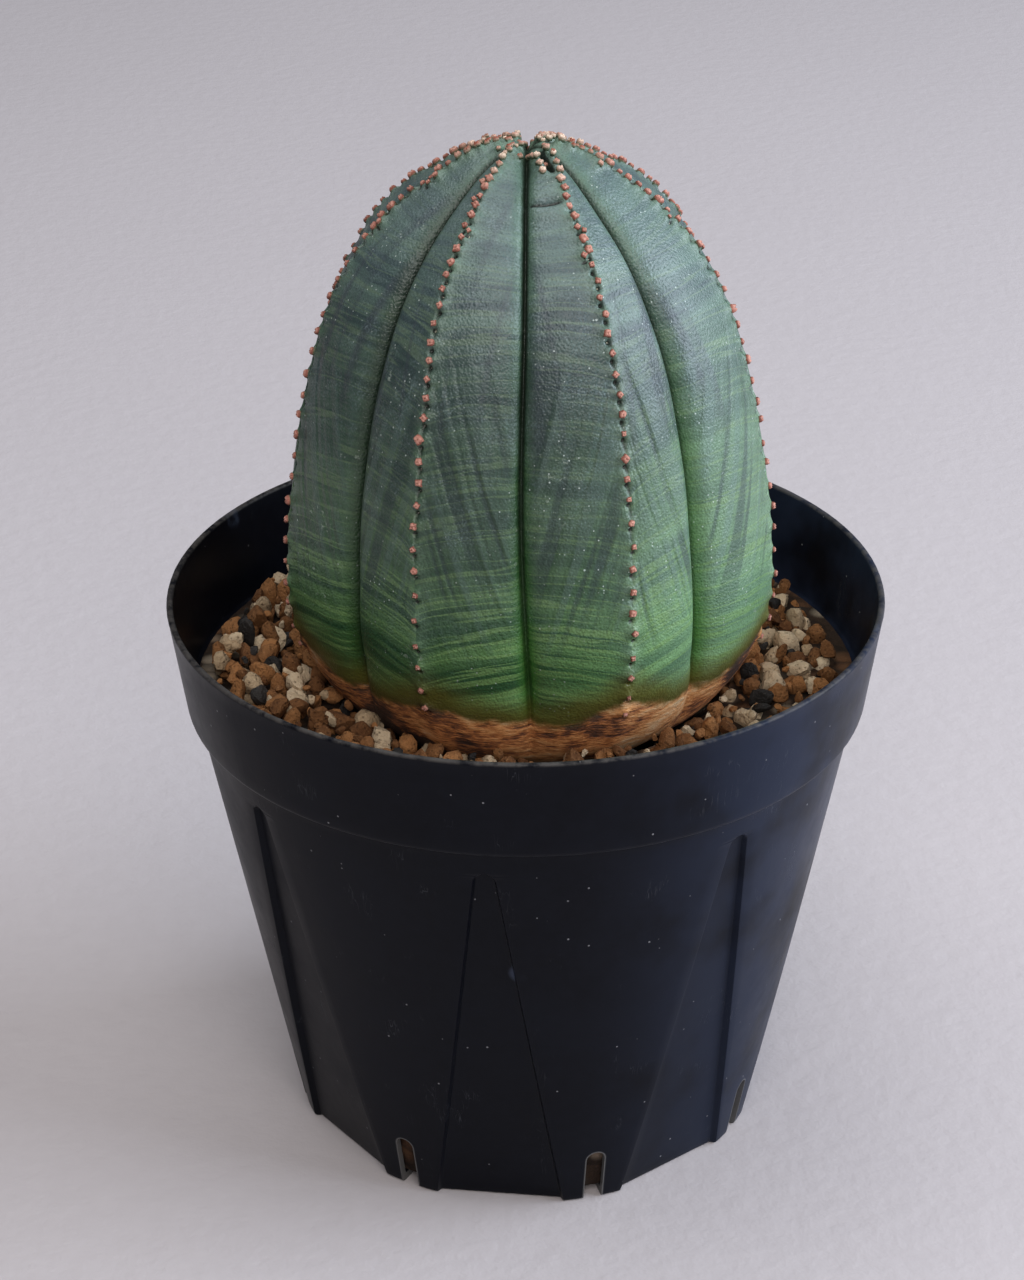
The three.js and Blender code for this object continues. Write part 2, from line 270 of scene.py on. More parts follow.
# %% Crest and furrow lines
CRESTS = np.array([-26.5, 23.3, 77.0, 119.0, 160.0, 204.0, 245.0, 284.0])
CREST_LEAN = np.array([-3.0, 0.8, 3.0, 1.5, -1.5, -2.0, 2.0, -4.5])
FURROWS = np.array([-1.3, 45.0, 98.0, 139.5, 182.0, 225.0, 265.0, 312.4])
FURROW_LEAN = np.array([-0.8, -2.4, 2.0, 1.0, 0.0, -1.0, 1.0, 0.4])
FURROW_WIDTH = np.array([1.0, 1.5, 1.4, 1.4, 1.6, 1.4, 1.5, 1.4])
RIBS = len(CRESTS)
HALF_RIB = math.radians(180.0 / RIBS)   # even share of the turn for one flank, in radians
MIDDLE = 108.0                          # height in mm at which the azimuths above hold


def line_azimuths(height):
    """Azimuths in degrees of all crests and furrows, in order, at one height in mm."""
    lean = (height - MIDDLE) / 40.0
    phase = np.arange(RIBS)
    lines = np.empty(2 * RIBS + 1)
    lines[0:-1:2] = CRESTS + CREST_LEAN * lean + 0.5 * np.sin(height / 9.0 + 2.1 * phase)
    lines[1::2] = FURROWS + FURROW_LEAN * lean + 0.8 * np.sin(height / 11.0 + 1.7 * phase + 1.0)
    lines[-1] = lines[0] + 360.0
    return lines


def azimuth_of(column, height):
    """Azimuth of a column number (0 to 16) at a height."""
    return np.interp(column, np.arange(2 * RIBS + 1), line_azimuths(height))


print("crest azimuths at mid height:", np.round(line_azimuths(MIDDLE)[0:-1:2], 1))

# %% [markdown]
# ## The outline of the plant
# Seen from the side the plant is an egg with a domed crown. The outline is a short list
# of radius and height over the crests, from the middle of the crown down into the mix.
# Cutting its corners three times makes a smooth curve, and walking along it at a steady
# pace gives `down`: the distance in mm from the middle of the crown.

# %% Smooth outline
OUTLINE = [
    (0.0, 152.5), (1.6, 152.5), (3.4, 152.4), (5.2, 152.1), (7.4, 151.4), (9.8, 150.3),
    (12.6, 148.5), (16.0, 146.0), (19.8, 142.9), (23.6, 138.6), (27.0, 133.0), (29.7, 126.4),
    (31.9, 118.6), (33.7, 110.0), (35.0, 101.3), (35.8, 92.0), (35.6, 86.5), (34.6, 81.5),
    (32.8, 76.8), (30.0, 72.4), (26.6, 69.0), (22.0, 66.0),
]
PLANT_X = 0.6                           # the plant stands a little off the pot's axis
PLANT_Y = 2.0
SIDE_FROM = 30                          # outline points from here on are on its side


def smooth_curve(points, rounds=3):
    curve = np.array(points, float)
    for _ in range(rounds):
        near = 0.75 * curve[:-1] + 0.25 * curve[1:]
        far = 0.25 * curve[:-1] + 0.75 * curve[1:]
        middle = np.stack([near, far], axis=1).reshape(-1, 2)
        curve = np.vstack([curve[:1], middle, curve[-1:]])
    return curve


outline = smooth_curve(OUTLINE)
walked = np.concatenate([[0.0], np.cumsum(np.hypot(*np.diff(outline, axis=0).T))])
LENGTH = walked[-1]


def on_outline(down):
    """Radius, height and outward direction of the outline at a distance down."""
    radius = np.interp(down, walked, outline[:, 0])
    height = np.interp(down, walked, outline[:, 1])
    ends = np.minimum(down + 0.4, LENGTH), np.maximum(down - 0.4, 0.0)
    along_r, along_z = (np.interp(ends[0], walked, values) - np.interp(ends[1], walked, values)
                        for values in outline.T)
    size = np.hypot(along_r, along_z)
    return radius, height, -along_z / size, along_r / size


def down_at(height):
    """Distance down of a height on the outer side of the plant."""
    return float(np.interp(-height, -outline[SIDE_FROM:, 1], walked[SIDE_FROM:]))


print(f"outline is {LENGTH:.1f} mm long from crown to mix")

# %% [markdown]
# ## Where the tubercles sit
# Tubercles stand in one row down each crest. They touch at the crown, where the plant
# grows, and are about 3.4 mm apart lower down. The same list of places is used twice: the
# skin swells under each tubercle, and the tubercle itself is set there later. At the crown
# a few stand beside the row. One row is split for its first few millimetres.

# %% Rows of tubercles
SPLIT_RIB = 1
SPLIT_TOP = 3.6                         # the split runs from here, in mm down,
SPLIT_END = 9.4                         # to here
EXTRA = 7                               # loose tubercles beside each row at the crown
dice = np.random.default_rng(42)


def tubercle_row(rib):
    places = []
    down = 3.0 + dice.uniform(0.0, 0.8)
    while True:
        gap = np.interp(down, [5, 14, 28, 45, 60], [1.35, 1.6, 2.2, 3.0, 3.4])
        down += gap * dice.uniform(0.86, 1.14)
        height = on_outline(down)[1]
        if height < 80.0 + dice.uniform(-1.5, 1.5) and down > 30:
            return np.array(places)
        shift = dice.uniform(-0.25, 0.25)
        size = dice.uniform(0.8, 1.15)
        if rib == SPLIT_RIB and down < SPLIT_END:
            places.append((down - 0.4, shift - 1.15, size))
            places.append((down, shift + 1.15, size))
            continue
        places.append((down, shift, size))
        if down < 30 and dice.random() < 0.22:
            side = dice.choice([-1.0, 1.0])
            places.append((down + 0.7, shift + side * 0.8, size * 0.75))


tubercle_rows = [tubercle_row(rib) for rib in range(RIBS)]
for rib in range(RIBS):
    extra = [(dice.uniform(1.6, 7.0), dice.uniform(-1.5, 1.5), dice.uniform(0.6, 0.9))
             for _ in range(EXTRA)]
    tubercle_rows[rib] = np.vstack([tubercle_rows[rib], extra])
print("tubercles per row:", [len(row) for row in tubercle_rows])

# %% [markdown]
# ## The height of the skin
# The skin starts at the outline and falls back towards the furrows: nearly flat flanks,
# then a narrow crease like the seam of a cushion. Each tubercle has a soft mound with a
# pit just below it. The front and back furrows run into one another across the crown and
# part it. One rib has a fold near the crown, where growth stopped and started again.

# %% Skin relief
CLEFT_DEPTH = 1.5
BACK_DROP = 1.1                         # how much lower the crown is behind its centre
TALL = [0.72, 0.62, 0.42]               # height of a mound at the crown, shoulder and waist
PIT_DEPTH = 0.60
FOLD_Z = 148.4                          # height of the shut fold


def skin_depth(column, down):
    """How far in mm the skin lies under the outline, for arrays of columns and downs."""
    radius, height, _, _ = on_outline(down)
    away = np.abs(((column + 1.0) % 2.0) - 1.0)
    half_width = np.maximum(radius * HALF_RIB, 0.3)
    to_furrow = (1.0 - away) * half_width
    to_crest = away * half_width
    strength = np.interp(height, [71.0, 75.0, 84.0], [0.12, 0.40, 1.0])
    swell = 0.058 * radius * away ** 1.55
    depth = np.interp(down, [0, 5, 12, 30, 60, LENGTH], [0.2, 0.8, 1.5, 2.1, 2.1, 1.4])
    spread = np.interp(down, [0, 8, 20, 60, 90, LENGTH], [0.35, 0.34, 0.34, 0.46, 0.9, 1.8])
    own = FURROW_WIDTH[np.floor(column / 2.0).astype(int) % RIBS]
    own = 1.0 + (own - 1.0) * np.interp(down, [10, 30], [0.0, 1.0])
    crease = depth * (0.40 + 0.60 * own) * np.exp(-to_furrow / (spread * own))
    ridge = 0.22 * np.exp(-((to_crest / 1.3) ** 2)) * np.interp(down, [8, 20], [0.0, 1.0])
    seam = 0.30 * np.exp(-((to_crest / 0.28) ** 2))
    seam *= np.interp(down, [8, 14, 55, 75], [0.0, 1.0, 1.0, 0.0])
    lumps = 0.10 * np.sin(column * 5.3 + down / 4.1) * np.sin(down / 6.7 + column * 2.2)
    return (swell + crease) * strength - ridge + seam + lumps * np.minimum(radius / 20.0, 1.0)


def crown_cleft(across, radius):
    """The cleft that parts the crown from front to back."""
    shape = np.exp(-((np.abs(across) / 0.75) ** 1.3))
    return CLEFT_DEPTH * shape * np.interp(radius, [0.0, 6.5, 11.0], [1.0, 1.0, 0.0])


def crown_slope(backward, radius):
    """The crown falls away a little behind its centre."""
    fade = np.interp(radius, [0.0, 7.0, 17.0], [1.0, 1.0, 0.0])
    return BACK_DROP * np.clip(backward / 5.0, 0.0, 1.0) * fade


def crest_offset(column, down, rib):
    """Sideways distance in mm from one crest line."""
    away = column - 2.0 * rib
    away = (away + RIBS) % (2.0 * RIBS) - RIBS
    return away * on_outline(down)[0] * HALF_RIB


def tubercle_relief(column, down):
    """Mounds, pits and the split along the crests, each as a share of 1."""
    mound = np.zeros_like(down)
    pit = np.zeros_like(down)
    for rib in range(RIBS):
        sideways = crest_offset(column, down, rib)
        near = np.abs(sideways) < 4.0
        across, level = sideways[near], down[near]
        swell, hole = np.zeros(near.sum()), np.zeros(near.sum())
        for place, shift, size in tubercle_rows[rib]:
            along = level - place
            wide = np.interp(place, [5, 40], [0.62, 0.85]) * size
            swell += size * np.exp(-(((across - shift) ** 2 + (along + 0.1) ** 2) / wide ** 2))
            deep = np.interp(place, [10, 16], [0.0, 1.0])
            hole += deep * np.exp(-((across - shift) / 0.34) ** 2
                                  - ((along - 1.1 * size) / 0.30) ** 2)
        mound[near] += swell
        pit[near] += hole
        if rib == SPLIT_RIB:
            ends = [SPLIT_TOP - 0.6, SPLIT_TOP, SPLIT_END - 1.2, SPLIT_END - 0.4]
            inside = np.interp(level, ends, [0, 1, 1, 0])
            pit[near] = np.maximum(pit[near], 2.2 * inside * np.exp(-((across / 0.42) ** 2)))
    return mound, pit


def kink_relief(column, down):
    """A shut fold across the left flank of the second rib, near the crown."""
    inside = ((column > 1.02) & (column < 2.0)).astype(float)
    fold = down_at(FOLD_Z) + 0.5 * np.sin((column - 1.0) * 2.5)
    trench = 0.65 * np.exp(-(((down - fold) / 0.30) ** 2))
    upper = 0.50 * np.exp(-(((down - fold + 2.2) / 1.9) ** 2))
    lower = 0.45 * np.exp(-(((down - fold - 1.3) / 1.1) ** 2))
    edge = np.clip((column - 1.02) / 0.12, 0, 1) * np.clip((1.95 - column) / 0.15, 0, 1)
    return inside * edge * (upper + lower), inside * edge * trench


def skin_rise(column, down, radius, angle, mound, pit):
    """How far in mm the skin stands out from the outline, without the fold."""
    tall = np.interp(down, [8, 30, 60], TALL)
    rise = tall * mound - PIT_DEPTH * pit - skin_depth(column, down)
    rise -= crown_cleft(radius * np.sin(angle), radius)
    return rise - crown_slope(-radius * np.cos(angle), radius)


def skin_spots(reach, angle, level):
    return np.stack([PLANT_X + reach * np.sin(angle), PLANT_Y - reach * np.cos(angle), level],
                    axis=-1)


# %% [markdown]
# ## The grown body
# The body is one closed grid of points: columns run from crown to mix, and are packed
# closer along crests and furrows, where the shape turns fast. Mesh code suits it better
# than a modifier, because every line of the plant is uneven in its own way.
# A UV map keeps the column number and the distance down, and two attributes keep the
# mounds and the pits, so that the finish can follow the shape.

# %% Build the grown body
def column_numbers():
    """Column numbers from 0 to 16, packed near the crests and the furrows."""
    flank = 13.74
    half = np.array([0, 0.22, 0.45, 0.72, 1.05, 1.5, 2.2, 3.3, 4.8, 6.6, 8.4, 10.0, 11.3, 12.2,
                     12.9, 13.3, 13.58]) / flank
    both = np.concatenate([half, [1.0], 2.0 - half[:0:-1]])
    return np.concatenate([both + 2.0 * rib for rib in range(RIBS)])


def body_points(columns, downs):
    column, down = np.meshgrid(columns, downs)
    radius, height, out_r, out_z = on_outline(down)
    angle = np.radians(np.array([azimuth_of(columns, level[0]) for level in height]))
    mound, pit = tubercle_relief(column, down)
    rise = skin_rise(column, down, radius, angle, mound, pit)
    swollen, trench = kink_relief(column, down)
    rise += swollen - trench
    # The fold's trench joins the pit mask, so that the skin finish paints shade into it.
    pit = np.maximum(pit, 1.2 * trench)
    reach = np.maximum(radius + rise * out_r, 0.02)
    return skin_spots(reach, angle, height + rise * out_z), mound, pit


columns = column_numbers()
downs = np.concatenate([np.linspace(0.25, 3.0, 9), np.linspace(3.3, 94.0, 320),
                        np.linspace(94.8, LENGTH, 28)])
points, mound, pit = body_points(columns, downs)
rows, width = points.shape[:2]
poles = [[PLANT_X, PLANT_Y, OUTLINE[0][1] - CLEFT_DEPTH], [PLANT_X, PLANT_Y, OUTLINE[-1][1]]]
spots = np.vstack([points.reshape(-1, 3), poles])
faces = [face[::-1] for face in grid_faces(rows, width)]
crown = rows * width
faces += [[crown, i, (i + 1) % width] for i in range(width)]
under = (rows - 1) * width
faces += [[crown + 1, under + (i + 1) % width, under + i] for i in range(width)]
body = add_mesh("plant_body", spots, faces)
for name, values in (("mound", mound), ("pit", pit)):
    keep_values(body, name, np.append(values.ravel(), [0.0, 0.0]))

# %% Keep the rib coordinates in a UV map
def rib_uv(piece, columns, downs):
    layer = piece.data.uv_layers.new(name="ribs")
    corner = np.empty(len(piece.data.loops), int)
    piece.data.loops.foreach_get("vertex_index", corner)
    count = len(columns)
    row = np.minimum(corner // count, len(downs) - 1)
    place = columns[corner % count].astype(float)
    starts = np.empty(len(piece.data.polygons), int)
    sizes = np.empty(len(piece.data.polygons), int)
    piece.data.polygons.foreach_get("loop_start", starts)
    piece.data.polygons.foreach_get("loop_total", sizes)
    owner = np.repeat(np.arange(len(starts)), sizes)
    highest = np.zeros(len(starts))
    np.maximum.at(highest, owner, place)
    seam = (highest[owner] > 2 * RIBS - 1) & (place < 1)
    place[seam] += 2 * RIBS
    flat = np.stack([place, downs[row]], axis=1).ravel()
    layer.data.foreach_set("uv", flat)


rib_uv(body, columns, downs)
print_volume(body)

# %% [markdown]
# ## Skin of the plant
# The skin is a dull waxy green. A grey-blue bloom lies on the upper half, the lower half
# and the furrows are greener, and the foot is brown cork. Light and dark bands run round
# the plant and sag at each crest, and dark and pale streaks fan out from the crests.
# The finish reads the `ribs` UV map for what follows the ribs, and Object coordinates for
# grain and specks, so that their scale is real.

# %% Skin finish
def plant_skin():
    board = Board("euphorbia_skin")
    x, y, z = [axis / MM for axis in board.axes()]
    ribs = board.node("ShaderNodeUVMap", {"uv_map": "ribs"})
    column, down, _ = board.axes(ribs)
    away = column.call("PINGPONG", 1.0)
    flank = column.call("FLOOR")
    off_x, off_y = x - PLANT_X, y - PLANT_Y
    radius = (off_x * off_x + off_y * off_y) ** 0.5
    to_crest = away * radius * HALF_RIB
    to_furrow = (1.0 - away) * radius * HALF_RIB
    mound = board.attribute("mound")
    pit = board.attribute("pit")
    warp = board.noise(48.0, 3.0, 0.55) - 0.5

    # Streaks: ribs of tissue that leave the crest and spread as they go down.
    lean = (to_crest - (down - 34.0) * 0.30) + warp * 1.2
    streak_at = board.vector(lean, down * 0.022, flank * 7.7)
    streak = board.noise(0.62, 1.0, 0.5, streak_at)
    zone = down.step(32.0, 46.0) * (1.0 - down.step(66.0, 84.0)) * to_crest.step(0.5, 1.8)
    zone = zone * (1.0 - to_furrow.step(2.5, 0.5)) * board.noise(55.0, 1.0).step(0.30, 0.50)

    # Cross bands: they run level over the flank and sag towards each crest.
    sag = (1.0 - away) ** 2.5 * down.step(12.0, 50.0) * 2.6
    level = down - sag + warp * 2.6
    band_at = board.vector(column * 0.80 + flank * 5.3, level, warp * 1.6)
    broad = board.noise(0.20, 2.0, 0.5, band_at).step(0.45, 0.62)
    fine = board.noise(0.50, 3.0, 0.55, band_at).step(0.44, 0.58)
    hair = board.noise(1.7, 2.0, 0.6, board.vector(column * 0.9 + flank * 2.1, level, 0.0))
    band = (broad * 0.56 + fine * 0.44 + hair.step(0.35, 0.68) * 0.12).clip()
    calm = 1.0 - down.step(14.0, 38.0)
    band = band * (1.0 - calm * 0.55) + calm * 0.28
    band = band * (1.0 - zone * 0.45) + zone * 0.16
    thin = board.noise(0.60, 2.0, 0.5, board.vector(column * 0.60 + flank * 9.1, level, 4.0))
    thin = 1.0 - (thin - 0.5).call("ABSOLUTE").step(0.010, 0.045)

    # Upright blotches along the upper crests.
    upright = board.noise(0.50, 1.0, 0.5, board.vector(to_crest, down * 0.030, flank * 3.1))
    upright = upright.step(0.50, 0.70) * down.step(8.0, 16.0) * (1.0 - down.step(42.0, 56.0))

    # Colours: grey-blue bloom above, green below and in the furrows.
    upper = board.blend(band, (0.020, 0.046, 0.052), (0.118, 0.200, 0.150))
    frost = 1.0 - (down + warp * 16.0).step(16.0, 52.0)
    frosted = board.blend(band, (0.088, 0.120, 0.140), (0.160, 0.230, 0.215))
    upper = board.blend(frost * 0.55, upper, frosted)
    lower = board.blend(band, (0.024, 0.088, 0.032), (0.180, 0.360, 0.118))
    # Painted light makes the lower skin paler on the right, lit side; painted shade darkens it on
    # the left.
    lower = board.blend(off_x.step(4.0, 30.0) * 0.50, lower, (0.260, 0.430, 0.260))
    lower = board.blend(off_x.step(3.0, -7.0) * 0.38, lower, (0.016, 0.064, 0.018))
    low = (down + warp * 24.0).step(30.0, 84.0)
    skin = board.blend(low, upper, lower)
    pale = board.blend(low, (0.170, 0.250, 0.160), (0.210, 0.370, 0.120))
    skin = board.blend(thin * (0.62 - calm * 0.48), skin, pale)
    skin = board.blend(upright * 0.66, skin, (0.058, 0.070, 0.092))
    skin = board.blend(streak.step(0.53, 0.63) * zone * 0.60, skin, (0.018, 0.042, 0.044))
    skin = board.blend((1.0 - streak.step(0.36, 0.46)) * zone * 0.40, skin, (0.125, 0.205, 0.180))
    skin = board.blend(to_furrow.step(2.0, 0.2) * (0.25 + low * 0.50), skin, (0.050, 0.190, 0.022))
    halo = to_crest.step(2.6, 0.5) * board.noise(140.0, 2.0).step(0.30, 0.62)
    skin = board.blend(halo * 0.34, skin, (0.150, 0.245, 0.165))
    skin = board.blend(mound.clip() * 0.45, skin, (0.150, 0.250, 0.150))

    # Painted shade darkens the waist between the shoulders and the foot, towards a near-black
    # blue-green, less on the lit right side.
    painted_waist_shade = down.step(20.0, 44.0) * (1.0 - down.step(58.0, 86.0)) * 0.48
    painted_waist_shade = painted_waist_shade * (1.0 - off_x.step(10.0, 24.0) * 0.75)
    skin = board.blend(painted_waist_shade, skin, (0.004, 0.010, 0.010))

    # The waxy bloom is thin and patchy, and sits on top of the pebbles.
    pebble = board.cells(3100.0, feature="SMOOTH_F1")
    gritty = board.noise(3400.0, 2.0, 0.6)
    bloom = board.noise(210.0, 4.0, 0.7).step(0.38, 0.72) * (1.0 - low * 0.75)
    on_top = gritty.step(0.46, 0.72)
    skin = board.blend(bloom * (0.06 + on_top * 0.44), skin, (0.250, 0.330, 0.345))
    skin = board.blend(gritty.step(0.50, 0.28) * 0.42, skin, (0.014, 0.036, 0.024))

    # Fine pale specks and a few scuffs.
    patchy = board.noise(85.0, 2.0).step(0.40, 0.62)
    speck = (board.specks(1500.0, 0.22, 0.20) + board.specks(620.0, 0.13, 0.08)).clip() * patchy
    skin = board.blend(speck * 0.70, skin, (0.62, 0.70, 0.66))
    scuff = board.noise(900.0, 3.0, 0.7).step(0.60, 0.68)
    scuff = scuff * board.noise(120.0, 2.0).step(0.60, 0.70)
    skin = board.blend(scuff * 0.45, skin, (0.42, 0.50, 0.42))

    # Painted shade in the shut seam between tubercles, and in the pit under each of them, the
    # split and the fold's trench.
    seam = to_crest.step(0.30, 0.10) * down.step(9.0, 14.0) * (1.0 - down.step(52.0, 74.0))
    seam = seam * (1.0 - mound.step(0.25, 0.55))
    skin = board.blend(seam * 0.60, skin, (0.012, 0.020, 0.012))
    skin = board.blend(pit.step(0.22, 0.65) * 0.92, skin, (0.007, 0.010, 0.006))
    # Painted shade along the bottom of each furrow, weaker in the lower part.
    painted_furrow_line = to_furrow.step(0.60, 0.12) * (1.0 - low * 0.40)
    skin = board.blend(painted_furrow_line * 0.90, skin, (0.006, 0.014, 0.006))

    # Painted shade: the furrows on the left, shaded side are darkened.
    painted_furrow_shade = to_furrow.step(2.0, 0.3) * off_x.step(-4.0, -16.0)
    skin = board.blend(painted_furrow_shade * 0.62, skin, (0.006, 0.014, 0.008))

    # Cork at the foot, rising on the crests, with an olive edge.
    rise = (1.0 - away) ** 2.0
    edge = z - rise * 3.4 + board.noise(160.0, 4.0, 0.6) * 4.4 - 2.2
    cork = 1.0 - edge.step(77.4, 79.6)
    olive = 1.0 - (edge - rise * 1.6).step(79.2, 85.0)
    skin = board.blend(olive * 0.90, skin, (0.110, 0.100, 0.014))
    skin = board.blend((1.0 - edge.step(78.2, 80.8)) * 0.75, skin, (0.050, 0.030, 0.006))
    fibre_at = board.vector(x * 0.22, y * 0.22, z + warp * 5.0)
    fibre = board.noise(1.1, 5.0, 0.70, fibre_at)
    fine_fibre = board.noise(4.2, 3.0, 0.7, fibre_at)
    blotch = board.noise(70.0, 3.0, 0.6)
    bark_tone_and_light = (fibre - 0.5) * 1.15 + (blotch - 0.5) * 1.90
    # Painted light: the cork's tone is lifted from the left side towards the centre and the lit
    # right.
    bark_tone_and_light = bark_tone_and_light + off_x.step(-26.0, 0.0) * 0.24 + 0.31 + (fine_fibre - 0.5) * 0.60
    bark = board.ramp([
        (0.26, (0.045, 0.016, 0.008)), (0.40, (0.200, 0.066, 0.024)),
        (0.52, (0.580, 0.205, 0.058)), (0.66, (0.860, 0.390, 0.135)),
        (0.88, (0.920, 0.620, 0.350))], bark_tone_and_light)
    skin = board.blend(cork, skin, bark)
    # Painted shade darkens the cork at the bottom, where it meets the mix.
    skin = board.blend((1.0 - z.step(69.0, 74.5)) * 0.40 * cork, skin, (0.040, 0.016, 0.007))

    # Relief in metres: pebbled skin, faint cross wrinkles, low streaks, corky fibres.
    height = (1.0 - pebble) * 0.00010 + hair * 0.00004
    height = height + (1.0 - streak.step(0.36, 0.66)) * zone * 0.00022
    height = height * (1.0 - cork) + (fibre * 0.0008 + fine_fibre * 0.0003) * cork
    normal = board.bump(height)
    rough = 0.34 + board.noise(500.0, 3.0) * 0.20 + cork * 0.34
    return board.finish(skin, rough.clip(), normal, Specular_IOR_Level=0.62)


body.data.materials.append(plant_skin())
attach(body, "root")
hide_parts("plant")
print("skin nodes:", len(body.data.materials[0].node_tree.nodes))

# %% [markdown]
# ## Tubercles by Geometry Nodes
# A tubercle is a blunt knob over 1 mm across, with a few lobes and a paler tip. There
# are hundreds of them, so one low shape is made once and a small node tree sets a copy on
# each point, turned to point out of the skin. The tree has named inputs for the size and
# the unevenness, takes each point's direction and scale from attributes, and ends by
# turning the copies into real mesh.

# %% A helper for node trees
FULL_TURN = 6.283


class Tree:
    """A Geometry Nodes tree with named inputs."""

    def __init__(self, name):
        self.tree = bpy.data.node_groups.new(name, "GeometryNodeTree")
        self.sockets = {}
        for way in ("INPUT", "OUTPUT"):
            self.socket("Geometry", way, "NodeSocketGeometry")
        self.start = self.tree.nodes.new("NodeGroupInput")

    def socket(self, name, way, kind):
        return self.tree.interface.new_socket(name, in_out=way, socket_type=kind)

    def ask(self, name, kind="NodeSocketFloat"):
        self.sockets[name] = self.socket(name, "INPUT", kind)
        return self.start.outputs[name]

    def node(self, kind, settings=None, inputs=None, out=0):
        node = self.tree.nodes.new(kind)
        for key, value in (settings or {}).items():
            setattr(node, key, value)
        for key, value in (inputs or {}).items():
            if isinstance(value, bpy.types.NodeSocket):
                self.tree.links.new(value, node.inputs[key])
            else:
                node.inputs[key].default_value = value
        return node.outputs[out]

    def maths(self, operation, first, second):
        return self.node("ShaderNodeMath", {"operation": operation}, {0: first, 1: second})

    def compare(self, operation, first, second):
        return self.node("FunctionNodeCompare", {"operation": operation}, {0: first, 1: second})

    def chance(self, low, high, seed):
        """A number between low and high, drawn anew for each element."""
        inputs = {2: low, 3: high, "Seed": seed}
        return self.node("FunctionNodeRandomValue", {"data_type": "FLOAT"}, inputs, 1)

    def named(self, name, kind):
        """Reads an attribute of the points."""
        return self.node("GeometryNodeInputNamedAttribute", {"data_type": kind}, {"Name": name})

    def copies(self, points, shapes, scale, **inputs):
        """Sets one of the shapes on each point."""
        inputs.update({"Points": points, "Scale": scale, "Pick Instance": True})
        inputs["Instance"] = self.node("GeometryNodeCollectionInfo", None,
                                       {"Collection": shapes, "Separate Children": True})
        return self.node("GeometryNodeInstanceOnPoints", None, inputs)

    def toned(self, copies, seed):
        """Keeps a chance number from 0 to 1 on each copy, for its finish."""
        settings = {"data_type": "FLOAT", "domain": "INSTANCE"}
        inputs = {0: copies, "Name": "tone", "Value": self.chance(0.0, 1.0, seed)}
        return self.node("GeometryNodeStoreNamedAttribute", settings, inputs)

    def end(self, geometry, material):
        real = self.node("GeometryNodeRealizeInstances", None, {0: geometry})
        inputs = {"Geometry": real, "Material": material}
        dressed = self.node("GeometryNodeSetMaterial", None, inputs)
        stop = self.tree.nodes.new("NodeGroupOutput")
        self.tree.links.new(dressed, stop.inputs[0])


def grow(points, tree, values, name):
    """Runs a tree on an object and keeps the result as a plain mesh piece."""
    modifier = points.modifiers.new("grow", "NODES")
    modifier.node_group = tree.tree
    for key, value in values.items():
        modifier[tree.sockets[key].identifier] = value
    mesh = settled_mesh(points, modifier)
    mesh.name = name
    piece = show(name, mesh)
    bpy.data.objects.remove(points)
    print(f"{name}: {len(mesh.vertices)} points, {len(mesh.polygons)} faces")
    return piece


def hide_away(obj):
    """Takes a shape that is only copied from out of the scene."""
    for place in list(obj.users_collection):
        place.objects.unlink(obj)
    return obj


# %% The shape of one knob
def knob_shape(name, rings, sides, lobes, seed):
    """A closed knob from (radius, height, tip) rings in mm, with budding lobes."""
    random = np.random.default_rng(seed)
    wobble = random.uniform(0.84, 1.16, sides)
    spots, tips = [], []
    for radius, height, tip in rings:
        for side in range(sides):
            angle = 2 * math.pi * side / sides
            bud = max(0.0, math.cos(angle * 4 + seed))
            reach = radius * wobble[side] * (1 + lobes * (bud - 0.4))
            level = height + 0.64 * bud * lobes * tip
            spots.append((reach * math.cos(angle), reach * math.sin(angle), level))
            tips.append(tip)
    faces = grid_faces(len(rings), sides)
    top = (len(rings) - 1) * sides
    faces.append(list(range(top, top + sides)))
    faces.append(list(range(sides))[::-1])
    piece = add_mesh(name, spots, faces)
    keep_values(piece, "tip", tips)
    return piece


knob_rings = [(0.60, -0.60, 0.0), (0.62, -0.05, 0.2), (0.60, 0.16, 0.5), (0.46, 0.34, 0.8),
              (0.27, 0.44, 1.0), (0.08, 0.38, 0.7)]
knobs = bpy.data.collections.new("knobs")
for number in range(5):
    shape = knob_shape(f"knob_{number}", knob_rings, 12, 0.16 + 0.04 * number, number)
    knobs.objects.link(hide_away(shape))


# %% [markdown]
# ## The knob tree
# The tree picks one of the five knob shapes for each point, turns it to the skin's
# direction, spins it about that direction, and scales it.

# %% Tree that sets shapes on points
def setting_tree(name, shapes, material):
    tree = Tree(name)
    size = tree.ask("Size")
    uneven = tree.ask("Unevenness")
    seed = tree.ask("Seed", "NodeSocketInt")
    aim = tree.node("FunctionNodeAlignRotationToVector", {"axis": "Z"},
                    {"Vector": tree.named("outward", "FLOAT_VECTOR")})
    spin = tree.node("ShaderNodeCombineXYZ", None, {2: tree.chance(0.0, FULL_TURN, seed)})
    turn = tree.node("FunctionNodeEulerToRotation", None, {0: spin})
    pose = tree.node("FunctionNodeRotateRotation", {"rotation_space": "LOCAL"}, {0: aim, 1: turn})
    luck = tree.chance(tree.maths("SUBTRACT", 1.0, uneven), 1.0, seed)
    scale = tree.maths("MULTIPLY", size, luck)
    scale = tree.maths("MULTIPLY", scale, tree.named("size", "FLOAT"))
    placed = tree.copies(tree.start.outputs[0], shapes, scale, Rotation=pose)
    tree.end(tree.toned(placed, seed), material)
    return tree


